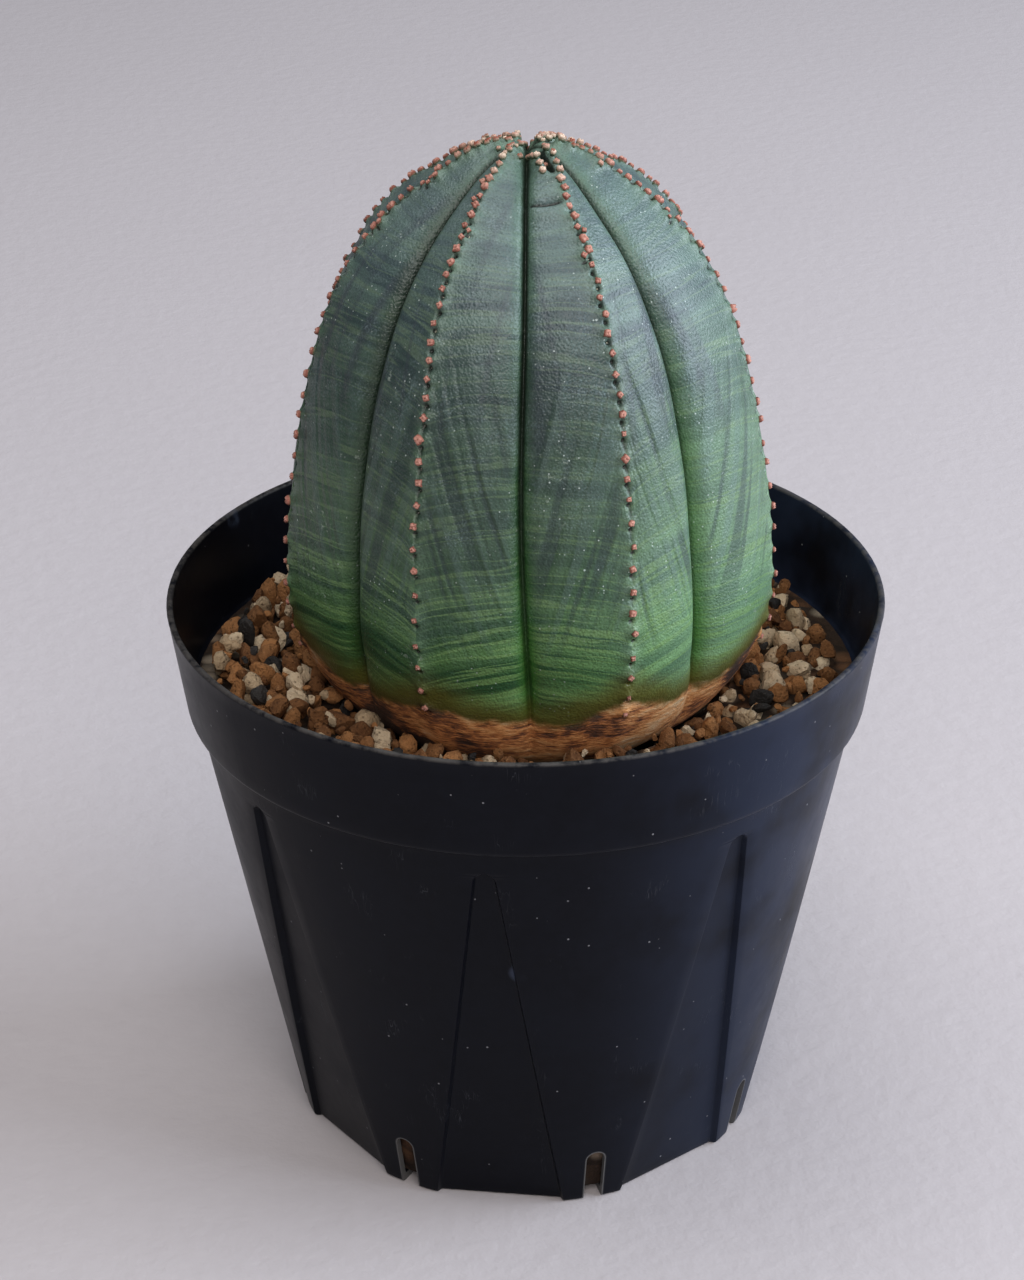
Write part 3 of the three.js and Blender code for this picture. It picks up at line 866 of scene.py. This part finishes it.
# %% Points for the knobs, on the skin
def skin_points(name, column, down, size):
    """Points on the skin with the outward direction and a size of their own."""
    radius, height, out_r, out_z = on_outline(down)
    angle = np.radians([azimuth_of(a, h) for a, h in zip(column, height)])
    mound, pit = tubercle_relief(column, down)
    rise = skin_rise(column, down, radius, angle, mound, pit)
    spots = skin_spots(radius + rise * out_r, angle, height + rise * out_z)
    outward = np.stack([out_r * np.sin(angle), -out_r * np.cos(angle), out_z], axis=-1)
    piece = add_mesh(name, spots, [])
    layer = piece.data.attributes.new("outward", "FLOAT_VECTOR", "POINT")
    layer.data.foreach_set("vector", outward.ravel())
    keep_values(piece, "size", size)
    return piece


def column_beside(rib, down, shift):
    """Column number of a place a few millimetres to the side of a crest."""
    return (2.0 * rib + shift / (on_outline(down)[0] * HALF_RIB)) % (2.0 * RIBS)


knob_places = [(column_beside(rib, down, shift), down, size)
               for rib, row in enumerate(tubercle_rows) for down, shift, size in row]
knob_columns, knob_downs, knob_sizes = np.array(knob_places).T
knob_sizes = knob_sizes * np.interp(knob_downs, [3, 14, 45, 75, 95], [0.62, 0.84, 1.0, 0.86, 0.66])
knob_sizes = knob_sizes * np.interp(knob_downs, [0, 12, 30, 60], [1.34, 1.20, 1.06, 1.02])
print("knobs:", len(knob_sizes))


# %% [markdown]
# ## Finish of the knobs
# Fresh knobs at the crown are pale, with a brick red or a cream tip; older ones are brick
# red and paler towards the tip. The `tip` attribute was drawn on the shape, and `tone` differs
# from knob to knob.

# %% Knob finish and piece
def knob_finish():
    board = Board("tubercle_red")
    tip = board.attribute("tip")
    tone = board.attribute("tone")
    height = board.axes()[2] / MM
    grain = board.noise(2600.0, 3.0, 0.65)
    patch = board.noise(900.0, 2.0, 0.6)
    young = height.step(149.0, 152.5)
    flank = board.blend(tone, (0.190, 0.055, 0.038), (0.400, 0.145, 0.105))
    flank = board.blend(young * (0.45 + tone * 0.5), flank, (0.520, 0.400, 0.290))
    base = board.blend(tip.step(0.05, 0.42), (0.095, 0.140, 0.080), flank)
    brick = young * tone.step(0.75, 0.35)
    pale = board.blend(brick, (0.620, 0.300, 0.230), (0.340, 0.085, 0.050))
    pale = board.blend(young * tone.step(0.55, 0.85), pale, (0.840, 0.640, 0.500))
    colour = board.blend((tip + patch * 0.9 - 0.45).step(0.50, 1.05), base, pale)
    colour = board.blend(grain.step(0.60, 0.74) * 0.55, colour, (0.80, 0.60, 0.50))
    colour = board.blend((1.0 - grain.step(0.30, 0.42)) * 0.55, colour, (0.110, 0.026, 0.016))
    normal = board.bump(grain * 0.00016 + patch * 0.0003)
    return board.finish(colour, 0.55 + grain * 0.25, normal, Specular_IOR_Level=0.35)


knob_tree = setting_tree("set_knobs", knobs, knob_finish())
knob_points = skin_points("knob_points", knob_columns, knob_downs, knob_sizes)
knob_values = {"Size": 1.0, "Unevenness": 0.22, "Seed": 5}
tubercles = grow(knob_points, knob_tree, knob_values, "tubercles")
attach(tubercles, "root")

# %% [markdown]
# ## Old flower scars
# Under many older knobs there is a small pale scar, where a flower once stood.

# %% Scars
def scar_finish():
    board = Board("dry_scar")
    grain = board.noise(3000.0, 2.0)
    colour = board.blend(grain, (0.34, 0.33, 0.20), (0.74, 0.73, 0.62))
    return board.finish(colour, 0.8, board.bump(grain * 0.0001))


scars = bpy.data.collections.new("scars")
scar_rings = [(0.30, -0.2, 0.0), (0.32, 0.10, 0.0), (0.24, 0.22, 0.0), (0.12, 0.14, 0.0)]
scars.objects.link(hide_away(knob_shape("scar_shape", scar_rings, 7, 0.1, 9)))
scar_places = [(column_beside(rib, down, shift), down + 1.1 * size, dice.uniform(0.7, 1.1))
               for rib, row in enumerate(tubercle_rows) for down, shift, size in row
               if 18.0 < down < 92.0 and dice.random() < 0.5]
scar_points = skin_points("scar_points", *np.array(scar_places).T)
scar_tree = setting_tree("set_scars", scars, scar_finish())
scar_values = {"Size": 1.0, "Unevenness": 0.3, "Seed": 8}
flower_scars = grow(scar_points, scar_tree, scar_values, "flower_scars")
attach(flower_scars, "root")

# %% [markdown]
# ## The pot
# The pot is one thin moulding: a taper, a plain rim band, and eight flat panels let into
# the taper so that the foot is nearly an octagon. Between the panels a round-topped slot
# lets water out. The CAD node has flat facets, so we make a smooth one in its place.
# One function gives the outside radius at any azimuth and height. The grid's columns
# follow the slanting edges of the panels, so the small step stays crisp.

# %% Radius of the outside of the pot
PANELS = 8
PANEL_STEP = 360.0 / PANELS             # degrees from one panel to the next
HALF_STEP = PANEL_STEP / 2
PANEL_TURN = -7.0                       # azimuth of the first panel
PANEL_HALF_WIDTH = 9.4                  # at the foot
PANEL_TIP = 1.5                         # radius of the rounded tip
PANEL_DEPTH = 0.8
PANEL_EDGE = 0.42                       # width of the step round a panel
TIP_Z = band_z - 4.2
BAND_STEP = 1.3                         # how far the band stands out from the taper
FOOT_ROUND = 0.6                        # radius of the foot's rounded edge
SLOT_WIDTH = 2.8
SLOT_HEIGHT = 9.7
LIP = [(0.02, 0.40), (0.10, 0.16), (0.28, 0.03), (0.5, 0.0), (0.75, 0.05), (0.93, 0.2), (1.0, 0.5)]


def cone_radius(z):
    return foot_radius + (wall_top_radius - foot_radius) * z / band_z


def ease(value):
    value = np.clip(value, 0.0, 1.0)
    return value * value * (3.0 - 2.0 * value)


def panel_half_width(z):
    """Half width of the panel outline at a height; 0 above the rounded tip."""
    centre = TIP_Z - PANEL_TIP
    straight = PANEL_HALF_WIDTH + (PANEL_TIP - PANEL_HALF_WIDTH) * z / centre
    above = np.clip(PANEL_TIP ** 2 - (z - centre) ** 2, 0.0, None)
    return np.where(z > centre, np.sqrt(above), straight)


def taper_radius(turn, z, inset=0.0):
    """Outside radius of the taper, where turn is in degrees from the middle of a panel."""
    angle = np.radians(turn)
    plain = cone_radius(z) - inset
    foot = math.sqrt(foot_radius ** 2 - PANEL_HALF_WIDTH ** 2) - PANEL_DEPTH
    tip = cone_radius(TIP_Z) - PANEL_DEPTH
    flat = (foot + (tip - foot) * z / TIP_Z - inset) / np.cos(angle)
    sideways = np.abs(plain * np.sin(angle))
    centre = TIP_Z - PANEL_TIP
    slope = (PANEL_HALF_WIDTH - PANEL_TIP) / centre
    straight = (PANEL_HALF_WIDTH - slope * z - sideways) / math.hypot(1.0, slope)
    rounded = PANEL_TIP - np.hypot(sideways, z - centre)
    inside = np.where(z > centre, rounded, straight) + inset
    return plain + (np.minimum(flat, plain) - plain) * ease(inside / PANEL_EDGE + 0.5)


# %% Columns and rows of the pot's grid
def pot_columns(z):
    """Turns in degrees round one panel, following its edges at a height."""
    radius = cone_radius(z)
    edge = math.degrees(math.asin(max(float(panel_half_width(z)), 0.45) / radius))
    step = math.degrees(1.0 / radius)
    near = np.array([-0.30, -0.16, -0.06, 0.06, 0.16, 0.30]) * step
    left, right = near - edge, near + edge
    panel = np.linspace(-0.1, 0.1, 7) * edge
    if edge > 1.2:
        panel = np.linspace(-edge - near[0], edge + near[0], 9)[1:-1]
    if edge <= 0.64 * step:
        spread = np.linspace(-edge - 0.30 * step, edge + 0.30 * step, 19)
        left, panel, right = spread[:6], spread[6:13], spread[13:]
    wall_left = np.linspace(-HALF_STEP, left[0], 8)[:-1]
    wall_right = np.linspace(right[-1], HALF_STEP, 8)[1:-1]
    return np.concatenate([wall_left, left, panel, right, wall_right])


def ring_points(z, radius_of):
    spots = []
    turns = pot_columns(min(z, band_z - 0.6))
    for panel in range(PANELS):
        for turn in turns:
            angle = math.radians(PANEL_TURN + PANEL_STEP * panel + turn)
            radius = float(radius_of(turn, z))
            spots.append((radius * math.sin(angle), -radius * math.cos(angle), z))
    return spots


def band_radius(z):
    start = wall_top_radius + BAND_STEP
    return start + (rim_radius - start) * (z - band_z) / band_height


# %% Build the pot
def band_profile():
    """Radius and height from under the band, over the lip and down to the inner ledge."""
    ledge = band_z + wall
    inner = cone_radius(band_z) - wall
    profile = [(cone_radius(band_z - 2.0), band_z - 2.0),
               (cone_radius(band_z - 0.55), band_z - 0.55),
               (cone_radius(band_z - 0.25) + 0.06, band_z - 0.22),
               (wall_top_radius + 0.45, band_z - 0.02),
               (wall_top_radius + 0.85, band_z + 0.02),
               (band_radius(band_z + 0.2) - 0.22, band_z + 0.16),
               (band_radius(band_z + 0.4) - 0.05, band_z + 0.42),
               (band_radius(band_z + 0.8), band_z + 0.8)]
    profile += [(band_radius(z), z) for z in np.linspace(band_z + 2.5, lip_z - 0.6, 7)]
    profile += [(rim_radius - back, lip_z - drop) for back, drop in LIP]
    profile += [(band_radius(z) - wall, z) for z in np.linspace(lip_z - 2.0, ledge + 1.0, 7)]
    profile += [(band_radius(ledge + 0.5) - wall - 0.15, ledge + 0.5),
                (inner + 0.25, ledge - 0.1), (inner, ledge - 0.5)]
    return profile


def pot_rings():
    """Rings of points from the foot up the outside and down the inside."""
    rings = []
    for share in np.linspace(0, 1, 6):
        angle = share * math.pi / 2
        shrink = FOOT_ROUND * (1 - math.sin(angle))
        rings.append(ring_points(FOOT_ROUND * (1 - math.cos(angle)),
                                 lambda turn, at, s=shrink: taper_radius(turn, at) - s))
    for z in [*np.linspace(1.4, TIP_Z - 4.0, 44), *np.linspace(TIP_Z - 3.6, TIP_Z + 0.4, 20)]:
        rings.append(ring_points(z, taper_radius))
    for radius, z in band_profile():
        rings.append(ring_points(z, lambda turn, at, r=radius: r))
    for z in np.linspace(TIP_Z - 0.2, wall + 0.4, 26):
        rings.append(ring_points(z, lambda turn, at: taper_radius(turn, at, wall)))
    rings.append(ring_points(wall, lambda turn, at: taper_radius(turn, at, wall) - 0.4))
    return rings


def build_pot():
    rings = pot_rings()
    width = len(rings[0])
    spots = [spot for ring in rings for spot in ring]
    faces = grid_faces(len(rings), width)
    floor_top = len(spots)
    spots.append((0.0, 0.0, wall))
    foot = len(spots)
    spots.append((0.0, 0.0, 0.0))
    last = (len(rings) - 1) * width
    faces += [[last + i, last + (i + 1) % width, floor_top] for i in range(width)]
    faces += [[foot, (i + 1) % width, i] for i in range(width)]
    return add_mesh("pot_moulding", spots, faces)


pot = build_pot()

# %% [markdown]
# ## Drain slots
# The slots are cut with one cutter made of eight closed prisms, each with a rounded top,
# set half way between the panels. A boolean modifier cuts them and is then made permanent.

# %% Cut the drain slots
def slot_cutter():
    half = SLOT_WIDTH / 2
    shape = [(-half, -1.0), (half, -1.0)]
    for step in range(13):
        angle = math.pi * step / 12
        shape.append((half * math.cos(angle), SLOT_HEIGHT - half + half * math.sin(angle)))
    spots, faces = [], []
    for number in range(PANELS):
        turn = math.radians(PANEL_TURN + PANEL_STEP * (number + 0.5))
        first = len(spots)
        for reach in (foot_radius - 3.6, foot_radius + 4.0):
            for across, z in shape:
                spots.append((reach * math.sin(turn) + across * math.cos(turn),
                              -reach * math.cos(turn) + across * math.sin(turn), z))
        count = len(shape)
        near = [first + i for i in range(count)]
        far = [corner + count for corner in near]
        faces += [near, far[::-1]]
        faces += [[near[(i + 1) % count], near[i], far[i], far[(i + 1) % count]]
                  for i in range(count)]
    return add_mesh("slot_cutter", spots, faces, smooth=False)


cutter = slot_cutter()
checked = bmesh.new()
checked.from_mesh(cutter.data)
bmesh.ops.recalc_face_normals(checked, faces=checked.faces)
checked.to_mesh(cutter.data)
checked.free()
cut = pot.modifiers.new("slots", "BOOLEAN")
cut.object = cutter
cut.operation = "DIFFERENCE"
cut.solver = "EXACT"
pot.data = settled_mesh(pot, cut)
bpy.data.objects.remove(cutter)
pot.data.set_sharp_from_angle(angle=math.radians(40))
print_volume(pot)

# %% [markdown]
# ## Black plastic
# The pot is black moulded plastic with a satin face. It has been used: there are fine pale
# scratches, dust specks, a few dried water marks, and the lip and the edges of the slots
# are rubbed paler. The wear follows the pot's own sizes, worked out from Object
# coordinates: the distance from the lip, and the distance from the nearest slot.

# %% Plastic finish
def plastic_finish():
    board = Board("black_plastic")
    x, y, z = [axis / MM for axis in board.axes()]
    turn = x.call("ARCTAN2", y * -1.0) * math.degrees(1.0)
    radius = (x * x + y * y) ** 0.5
    from_slot = (turn - (PANEL_TURN + HALF_STEP)).call("WRAP", HALF_STEP, -HALF_STEP)
    across = (from_slot * math.radians(1.0) * radius).call("ABSOLUTE")
    above = (z - (SLOT_HEIGHT - SLOT_WIDTH / 2)).call("MAXIMUM", 0.0)
    slot_gap = (across * across + above * above) ** 0.5 - SLOT_WIDTH / 2
    dust = board.noise(45.0, 4.0, 0.6)
    mottle = board.noise(500.0, 3.0, 0.65)

    colour = board.blend(mottle, (0.0020, 0.0024, 0.0044), (0.0044, 0.0052, 0.0092))
    haze = dust.step(0.40, 0.75) * 0.30
    colour = board.blend(haze * 0.5, colour, (0.012, 0.015, 0.025))
    # Painted reflection: the right side, towards the window light, is lighter and bluer.
    painted_right_sheen = x.step(6.0, 42.0) * board.noise(60.0, 3.0, 0.6).step(0.25, 0.60)
    colour = board.blend(painted_right_sheen * 0.80, colour, (0.018, 0.026, 0.052))

    # Dust specks: only a few cells of the pattern hold one.
    speck = (board.specks(700.0, 0.14, 0.08) + board.specks(330.0, 0.05, 0.06)).clip()
    colour = board.blend(speck * 0.55, colour, (0.36, 0.36, 0.38))

    # Scratches: thin stretched cells in two directions.
    def scratches(turned, scale):
        inputs = {0: board.place, 2: turned, 3: (1.0, 1.0, 0.05)}
        line = board.noise(scale, 2.0, 0.5, board.node("ShaderNodeMapping", None, inputs))
        return 1.0 - (line - 0.5).call("ABSOLUTE").step(0.0, 0.010)
    lines = scratches((0.5, 0.3, 0.2), 900.0) + scratches((-0.9, 0.5, 1.1), 700.0)
    lines = lines.clip() * board.noise(130.0, 3.0, 0.7).step(0.56, 0.74)
    colour = board.blend(lines * 0.24, colour, (0.16, 0.17, 0.19))

    # Dried water marks: faint rings of blue-grey.
    blot = board.cells(75.0)
    chosen = board.axes(board.cells(75.0, out=1))[1].step(0.80, 0.81)
    ring = 1.0 - (blot - 0.15).call("ABSOLUTE").step(0.0, 0.05)
    ring = ring + (1.0 - blot.step(0.10, 0.16)) * 0.5
    marks = ring.clip() * chosen * board.noise(300.0, 3.0).step(0.35, 0.6)
    colour = board.blend(marks * 0.50, colour, (0.075, 0.095, 0.150))

    # Rubbed edges: the lip, the band's lower edge and the slots.
    lip = z.step(lip_z - 0.55, lip_z - 0.10) * mottle.step(0.30, 0.62)
    seam = 1.0 - (z - (band_z + 0.05)).call("ABSOLUTE").step(0.05, 0.30)
    seam = seam * mottle.step(0.42, 0.62)
    slot = 1.0 - slot_gap.step(0.02, 0.30)
    slot = slot * (1.0 - z.step(SLOT_HEIGHT + 0.2, SLOT_HEIGHT + 0.4))
    colour = board.blend(lip * 0.55, colour, (0.110, 0.100, 0.092))
    colour = board.blend(seam * 0.30, colour, (0.110, 0.110, 0.120))
    colour = board.blend(slot * 0.60, colour, (0.200, 0.195, 0.190))

    rough = 0.29 + mottle * 0.10 + haze * 0.35 + lines * 0.15 + marks * 0.10 + speck * 0.3
    height = mottle * 0.00002 - lines * 0.00003 + speck * 0.00010
    height = height + board.noise(28.0, 2.0) * 0.0006
    normal = board.bump(height, 0.6)
    return board.finish(colour, rough.clip(), normal, Specular_IOR_Level=0.09)


pot.data.materials.clear()
pot.data.materials.append(plastic_finish())
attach(pot, "root")
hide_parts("pot")

# %% [markdown]
# ## Potting mix
# The pot is filled with a free-draining mix: cream pumice, orange-brown baked clay and a
# little charcoal, in lumps of 1 to 5 mm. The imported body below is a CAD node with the
# right shape, so it stays and gets a dark, crumbly finish.

# %% Packed mix
def packed_finish():
    board = Board("packed_mix")
    lumps = board.cells(260.0)
    pick = board.axes(board.cells(260.0, out=1))[0]
    grain = board.noise(1500.0, 3.0, 0.7)
    kinds = board.ramp([
        (0.0, (0.050, 0.024, 0.012)), (0.35, (0.120, 0.055, 0.026)), (0.62, (0.200, 0.095, 0.045)),
        (0.80, (0.330, 0.270, 0.200)), (0.93, (0.020, 0.018, 0.016))], pick)
    # Painted shade darkens the gaps between the lumps.
    colour = board.blend(lumps.step(0.25, 0.60), kinds, (0.016, 0.010, 0.007))
    colour = board.blend(grain * 0.5, colour, (0.070, 0.040, 0.025))
    normal = board.bump(grain * 0.0004 - lumps * 0.0030)
    return board.finish(colour, 0.92, normal, Specular_IOR_Level=0.2)


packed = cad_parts["potting_mix"]
packed.data.materials.clear()
packed.data.materials.append(packed_finish())
print("packed mix keeps its CAD shape")

# %% [markdown]
# ## Shapes of the granules
# A granule is a small ball pushed out of shape: squashed, cut flat here and there, and
# roughened. Twelve of them are enough, because each copy is turned and scaled by chance.
# There are over a thousand copies, so each has only 80 faces; the pores are in the finish.

# %% Granule shapes
def granule_shape(name, seed):
    random = np.random.default_rng(seed)

    def sides(count, low, high):
        """Directions drawn by chance, each with a number of its own."""
        return [(Vector(random.normal(size=3)).normalized(), random.uniform(low, high))
                for _ in range(count)]

    ball = bmesh.new()
    bmesh.ops.create_icosphere(ball, subdivisions=2, radius=0.5)
    cuts = sides(8, 0.24, 0.42)
    dents = sides(3, 0.5, 0.9)
    squash = [random.uniform(*ends) for ends in ((0.95, 1.35), (0.75, 1.0), (0.62, 0.9))]
    for vert in ball.verts:
        for direction, reach in cuts:
            past = vert.co.dot(direction) - reach
            if past > 0:
                vert.co -= direction * past * 0.92
        for direction, wide in dents:
            facing = vert.co.normalized().dot(direction)
            if facing > wide:
                vert.co *= 1.0 - 0.55 * (facing - wide)
        vert.co *= 1.0 + random.uniform(-0.075, 0.075)
        vert.co = Vector(a * b for a, b in zip(vert.co, squash)) * MM
    mesh = bpy.data.meshes.new(name)
    ball.to_mesh(mesh)
    ball.free()
    mesh.polygons.foreach_set("use_smooth", [True] * len(mesh.polygons))
    mesh.set_sharp_from_angle(angle=math.radians(38))
    return bpy.data.objects.new(name, mesh)


lumps = bpy.data.collections.new("lumps")
for number in range(12):
    lumps.objects.link(granule_shape(f"lump_{number:02d}", 100 + number))

# %% [markdown]
# ## Strewing the granules
# One tree strews points over a ring of ground at a least distance from each other, lifts
# each by a chance amount, and sets a lump on it. Each kind of granule takes its own share
# of the same points: a point's chance number says which kind it is, so the three kinds
# never fight for one place.

# %% The strewing tree
MOST = 300000.0                         # granules per square metre, if the spacing allows
SIZE_SEED, SPIN_SEED, LIFT_SEED, TONE_SEED = 77, 78, 79, 80


def strewing_tree(name, shapes, material):
    tree = Tree(name)
    spacing = tree.ask("Spacing")
    smallest = tree.ask("Smallest")
    largest = tree.ask("Largest")
    lift = tree.ask("Lift")
    first = tree.ask("Share from")
    last = tree.ask("Share to")
    seed = tree.ask("Seed", "NodeSocketInt")
    strewn = tree.node("GeometryNodeDistributePointsOnFaces", {"distribute_method": "POISSON"}, {
        "Mesh": tree.start.outputs[0], "Distance Min": spacing, "Density Max": MOST, "Seed": seed})
    luck = tree.chance(0.0, 1.0, seed)
    other = tree.node("FunctionNodeBooleanMath", {"operation": "OR"}, {
        0: tree.compare("LESS_THAN", luck, first), 1: tree.compare("GREATER_EQUAL", luck, last)})
    spin = tree.node("FunctionNodeRandomValue", {"data_type": "FLOAT_VECTOR"}, {
        0: (0.0, 0.0, 0.0), 1: (FULL_TURN, FULL_TURN, FULL_TURN), "Seed": SPIN_SEED})
    up = tree.node("ShaderNodeCombineXYZ", None, {2: tree.chance(0.0, lift, LIFT_SEED)})
    raised = tree.node("GeometryNodeSetPosition", None, {"Geometry": strewn, "Offset": up})
    placed = tree.copies(raised, shapes, tree.chance(smallest, largest, SIZE_SEED))
    turned = tree.node("GeometryNodeRotateInstances", None, {0: placed, 2: spin})
    kept = tree.node("GeometryNodeDeleteGeometry", {"domain": "INSTANCE"},
                     {0: tree.toned(turned, TONE_SEED), 1: other})
    tree.end(kept, material)
    return tree


# %% Ground rings for the granules
GROUND_FALL = 0.018                     # the mix falls this much per mm to the right
GROUND_CLIMB = 0.020                    # and climbs this much to the back


def ground_ring(inner, outer, level):
    """A flat ring of ground round the plant, a little higher on the left and behind."""
    sides = 72
    spots = []
    for radius, about_x, about_y in ((inner, PLANT_X, PLANT_Y), (outer, 0.0, 0.0)):
        for side in range(sides):
            angle = 2 * math.pi * side / sides
            x = about_x + radius * math.cos(angle)
            y = about_y + radius * math.sin(angle)
            spots.append((x, y, level - GROUND_FALL * x + GROUND_CLIMB * y))
    faces = [[i, sides + i, sides + (i + 1) % sides, (i + 1) % sides] for i in range(sides)]
    return add_mesh("ground", spots, faces)


# %% [markdown]
# ## Finishes of the granules
# Pumice is cream to grey-white and full of pores. Baked clay is orange-brown and powdery.
# Charcoal is black with a faint sheen. All three carry some dust from the others.

# %% Granule finishes
def granule_finish(name, dark, light, dust, roughness, pores):
    board = Board(name)
    tone = board.attribute("tone")
    coarse = board.noise(420.0, 4.0, 0.7)
    fine = board.noise(1900.0, 4.0, 0.7)
    pore = board.cells(1300.0).step(0.10, 0.34)
    colour = board.blend((tone * 0.65 + coarse * 0.7 - 0.2).clip(), dark, light)
    # Painted shade darkens the pores.
    colour = board.blend((1.0 - pore) * pores, colour, tuple(0.25 * c for c in dark))
    colour = board.blend(fine.step(0.55, 0.75) * 0.45, colour, dust)
    height = coarse * 0.0009 + fine * 0.00035 + pore * 0.00022 * pores
    return board.finish(colour, roughness, board.bump(height), Specular_IOR_Level=0.25)


# %% Strew the three kinds
KINDS = {
    # share from, share to, dark, light, dust, roughness, pores
    "pumice": (0.0, 0.27, (0.340, 0.225, 0.125), (0.700, 0.560, 0.390), (0.560, 0.390, 0.240),
               0.90, 0.6),
    "akadama": (0.27, 0.92, (0.070, 0.026, 0.010), (0.420, 0.190, 0.070), (0.500, 0.270, 0.120),
                0.92, 0.5),
    "charcoal": (0.92, 1.01, (0.010, 0.009, 0.009), (0.040, 0.036, 0.034), (0.120, 0.090, 0.070),
                 0.60, 0.3),
}
LAYERS = [
    # level, inner radius, outer radius, spacing, smallest, largest, lift, seed
    (70.9, 29.5, 45.8, 2.2, 2.4, 3.8, 0.8, 1),
    (72.2, 30.6, 45.4, 3.2, 3.2, 5.4, 1.0, 2),
    (73.2, 32.5, 45.4, 5.0, 2.4, 4.4, 0.8, 3),
    (73.0, 30.8, 45.6, 2.5, 1.1, 2.1, 0.7, 4),
]


def strew(kind, first, last, *finish):
    tree = strewing_tree(f"strew_{kind}", lumps, granule_finish(kind, *finish))
    layers = []
    for level, inner, outer, spacing, smallest, largest, lift, seed in LAYERS:
        ring = ground_ring(inner, outer, level)
        layers.append(grow(ring, tree, {
            "Spacing": spacing * MM, "Smallest": smallest, "Largest": largest, "Lift": lift * MM,
            "Share from": first, "Share to": last, "Seed": seed}, f"{kind}_layer_{seed}"))
    joined = bmesh.new()
    for layer in layers:
        joined.from_mesh(layer.data)
    mesh = layers[0].data
    joined.to_mesh(mesh)
    joined.free()
    piece = show(f"{kind}_granules", mesh)
    for layer in layers:
        bpy.data.objects.remove(layer)
    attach(piece, "root")
    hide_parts(*[name for name in sorted(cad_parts) if name.startswith(kind)])
    print(f"{piece.name}: {len(mesh.polygons)} faces")


for kind, looks in KINDS.items():
    strew(kind, *looks)

# %% [markdown]
# ## Floor, light and camera
# The plant stands on a plain pale floor. A wide soft light from the right does most of the
# work, as a window would; two dimmer ones, above and in front, fill the shade. The camera
# looks down a little.

# %% Floor
def floor_finish():
    board = Board("pale_floor")
    cloud = board.noise(3.0, 4.0, 0.6)
    grain = board.noise(260.0, 3.0, 0.6)
    colour = board.blend(cloud * 0.6 + grain * 0.4, (0.515, 0.468, 0.480), (0.610, 0.562, 0.575))
    return board.finish(colour, 0.75, board.bump(grain * 0.0002))


reach = 4000
corners = [(-reach, -reach, 0), (reach, -reach, 0), (reach, reach, 0), (-reach, reach, 0)]
floor = add_mesh("floor", corners, [[0, 1, 2, 3]])
floor.data.materials.append(floor_finish())


# %% Lights
def area_light(name, place, target, size, power, colour):
    lamp = bpy.data.lights.new(name, "AREA")
    lamp.shape = "RECTANGLE"
    lamp.size, lamp.size_y = size
    lamp.energy = power
    lamp.color = colour
    holder = show(name, lamp)
    holder.location = place
    aim = Vector(target) - Vector(place)
    holder.rotation_euler = aim.to_track_quat("-Z", "Y").to_euler()


area_light("window", (1.20, -0.05, 0.62), (0, 0, 0.08), (1.2, 1.0), 24.0, (0.80, 0.89, 1.0))
area_light("sky", (-0.25, 0.20, 1.6), (0, 0, 0.05), (1.5, 1.2), 12.0, (0.96, 0.98, 1.0))
area_light("front", (0.12, -1.00, 1.00), (0, 0, 0.07), (0.9, 0.9), 9.5, (1.0, 0.96, 0.92))
world = bpy.data.worlds.new("studio")
world.use_nodes = True
world.node_tree.nodes["Background"].inputs[0].default_value = (0.80, 0.86, 1.0, 1.0)
world.node_tree.nodes["Background"].inputs[1].default_value = 0.08
bpy.context.scene.world = world
bpy.context.scene.view_settings.view_transform = "Standard"


# %% Camera
def look(place, down_degrees, turn_degrees, roll_degrees, lens):
    down, turn, roll = (math.radians(a) for a in (down_degrees, turn_degrees, roll_degrees))
    flat = math.cos(down)
    ahead = Vector((math.sin(turn) * flat, math.cos(turn) * flat, -math.sin(down)))
    right = Vector((math.cos(turn), -math.sin(turn), 0.0))
    up = right.cross(ahead)
    sideways = right * math.cos(roll) - up * math.sin(roll)
    upwards = right * math.sin(roll) + up * math.cos(roll)
    camera = show("camera", bpy.data.cameras.new("camera"))
    camera.data.sensor_fit = "VERTICAL"
    camera.data.sensor_height = 36.0
    camera.data.lens = lens
    camera.data.clip_start = 0.01
    axes = Matrix((sideways, upwards, -ahead)).transposed().to_4x4()
    camera.matrix_world = Matrix.Translation(place) @ axes
    return camera


bpy.context.scene.camera = look(
    Vector((0.0, -0.40994, 0.29287)), down_degrees=27.855, turn_degrees=-0.282,
    roll_degrees=0.423, lens=88.14)
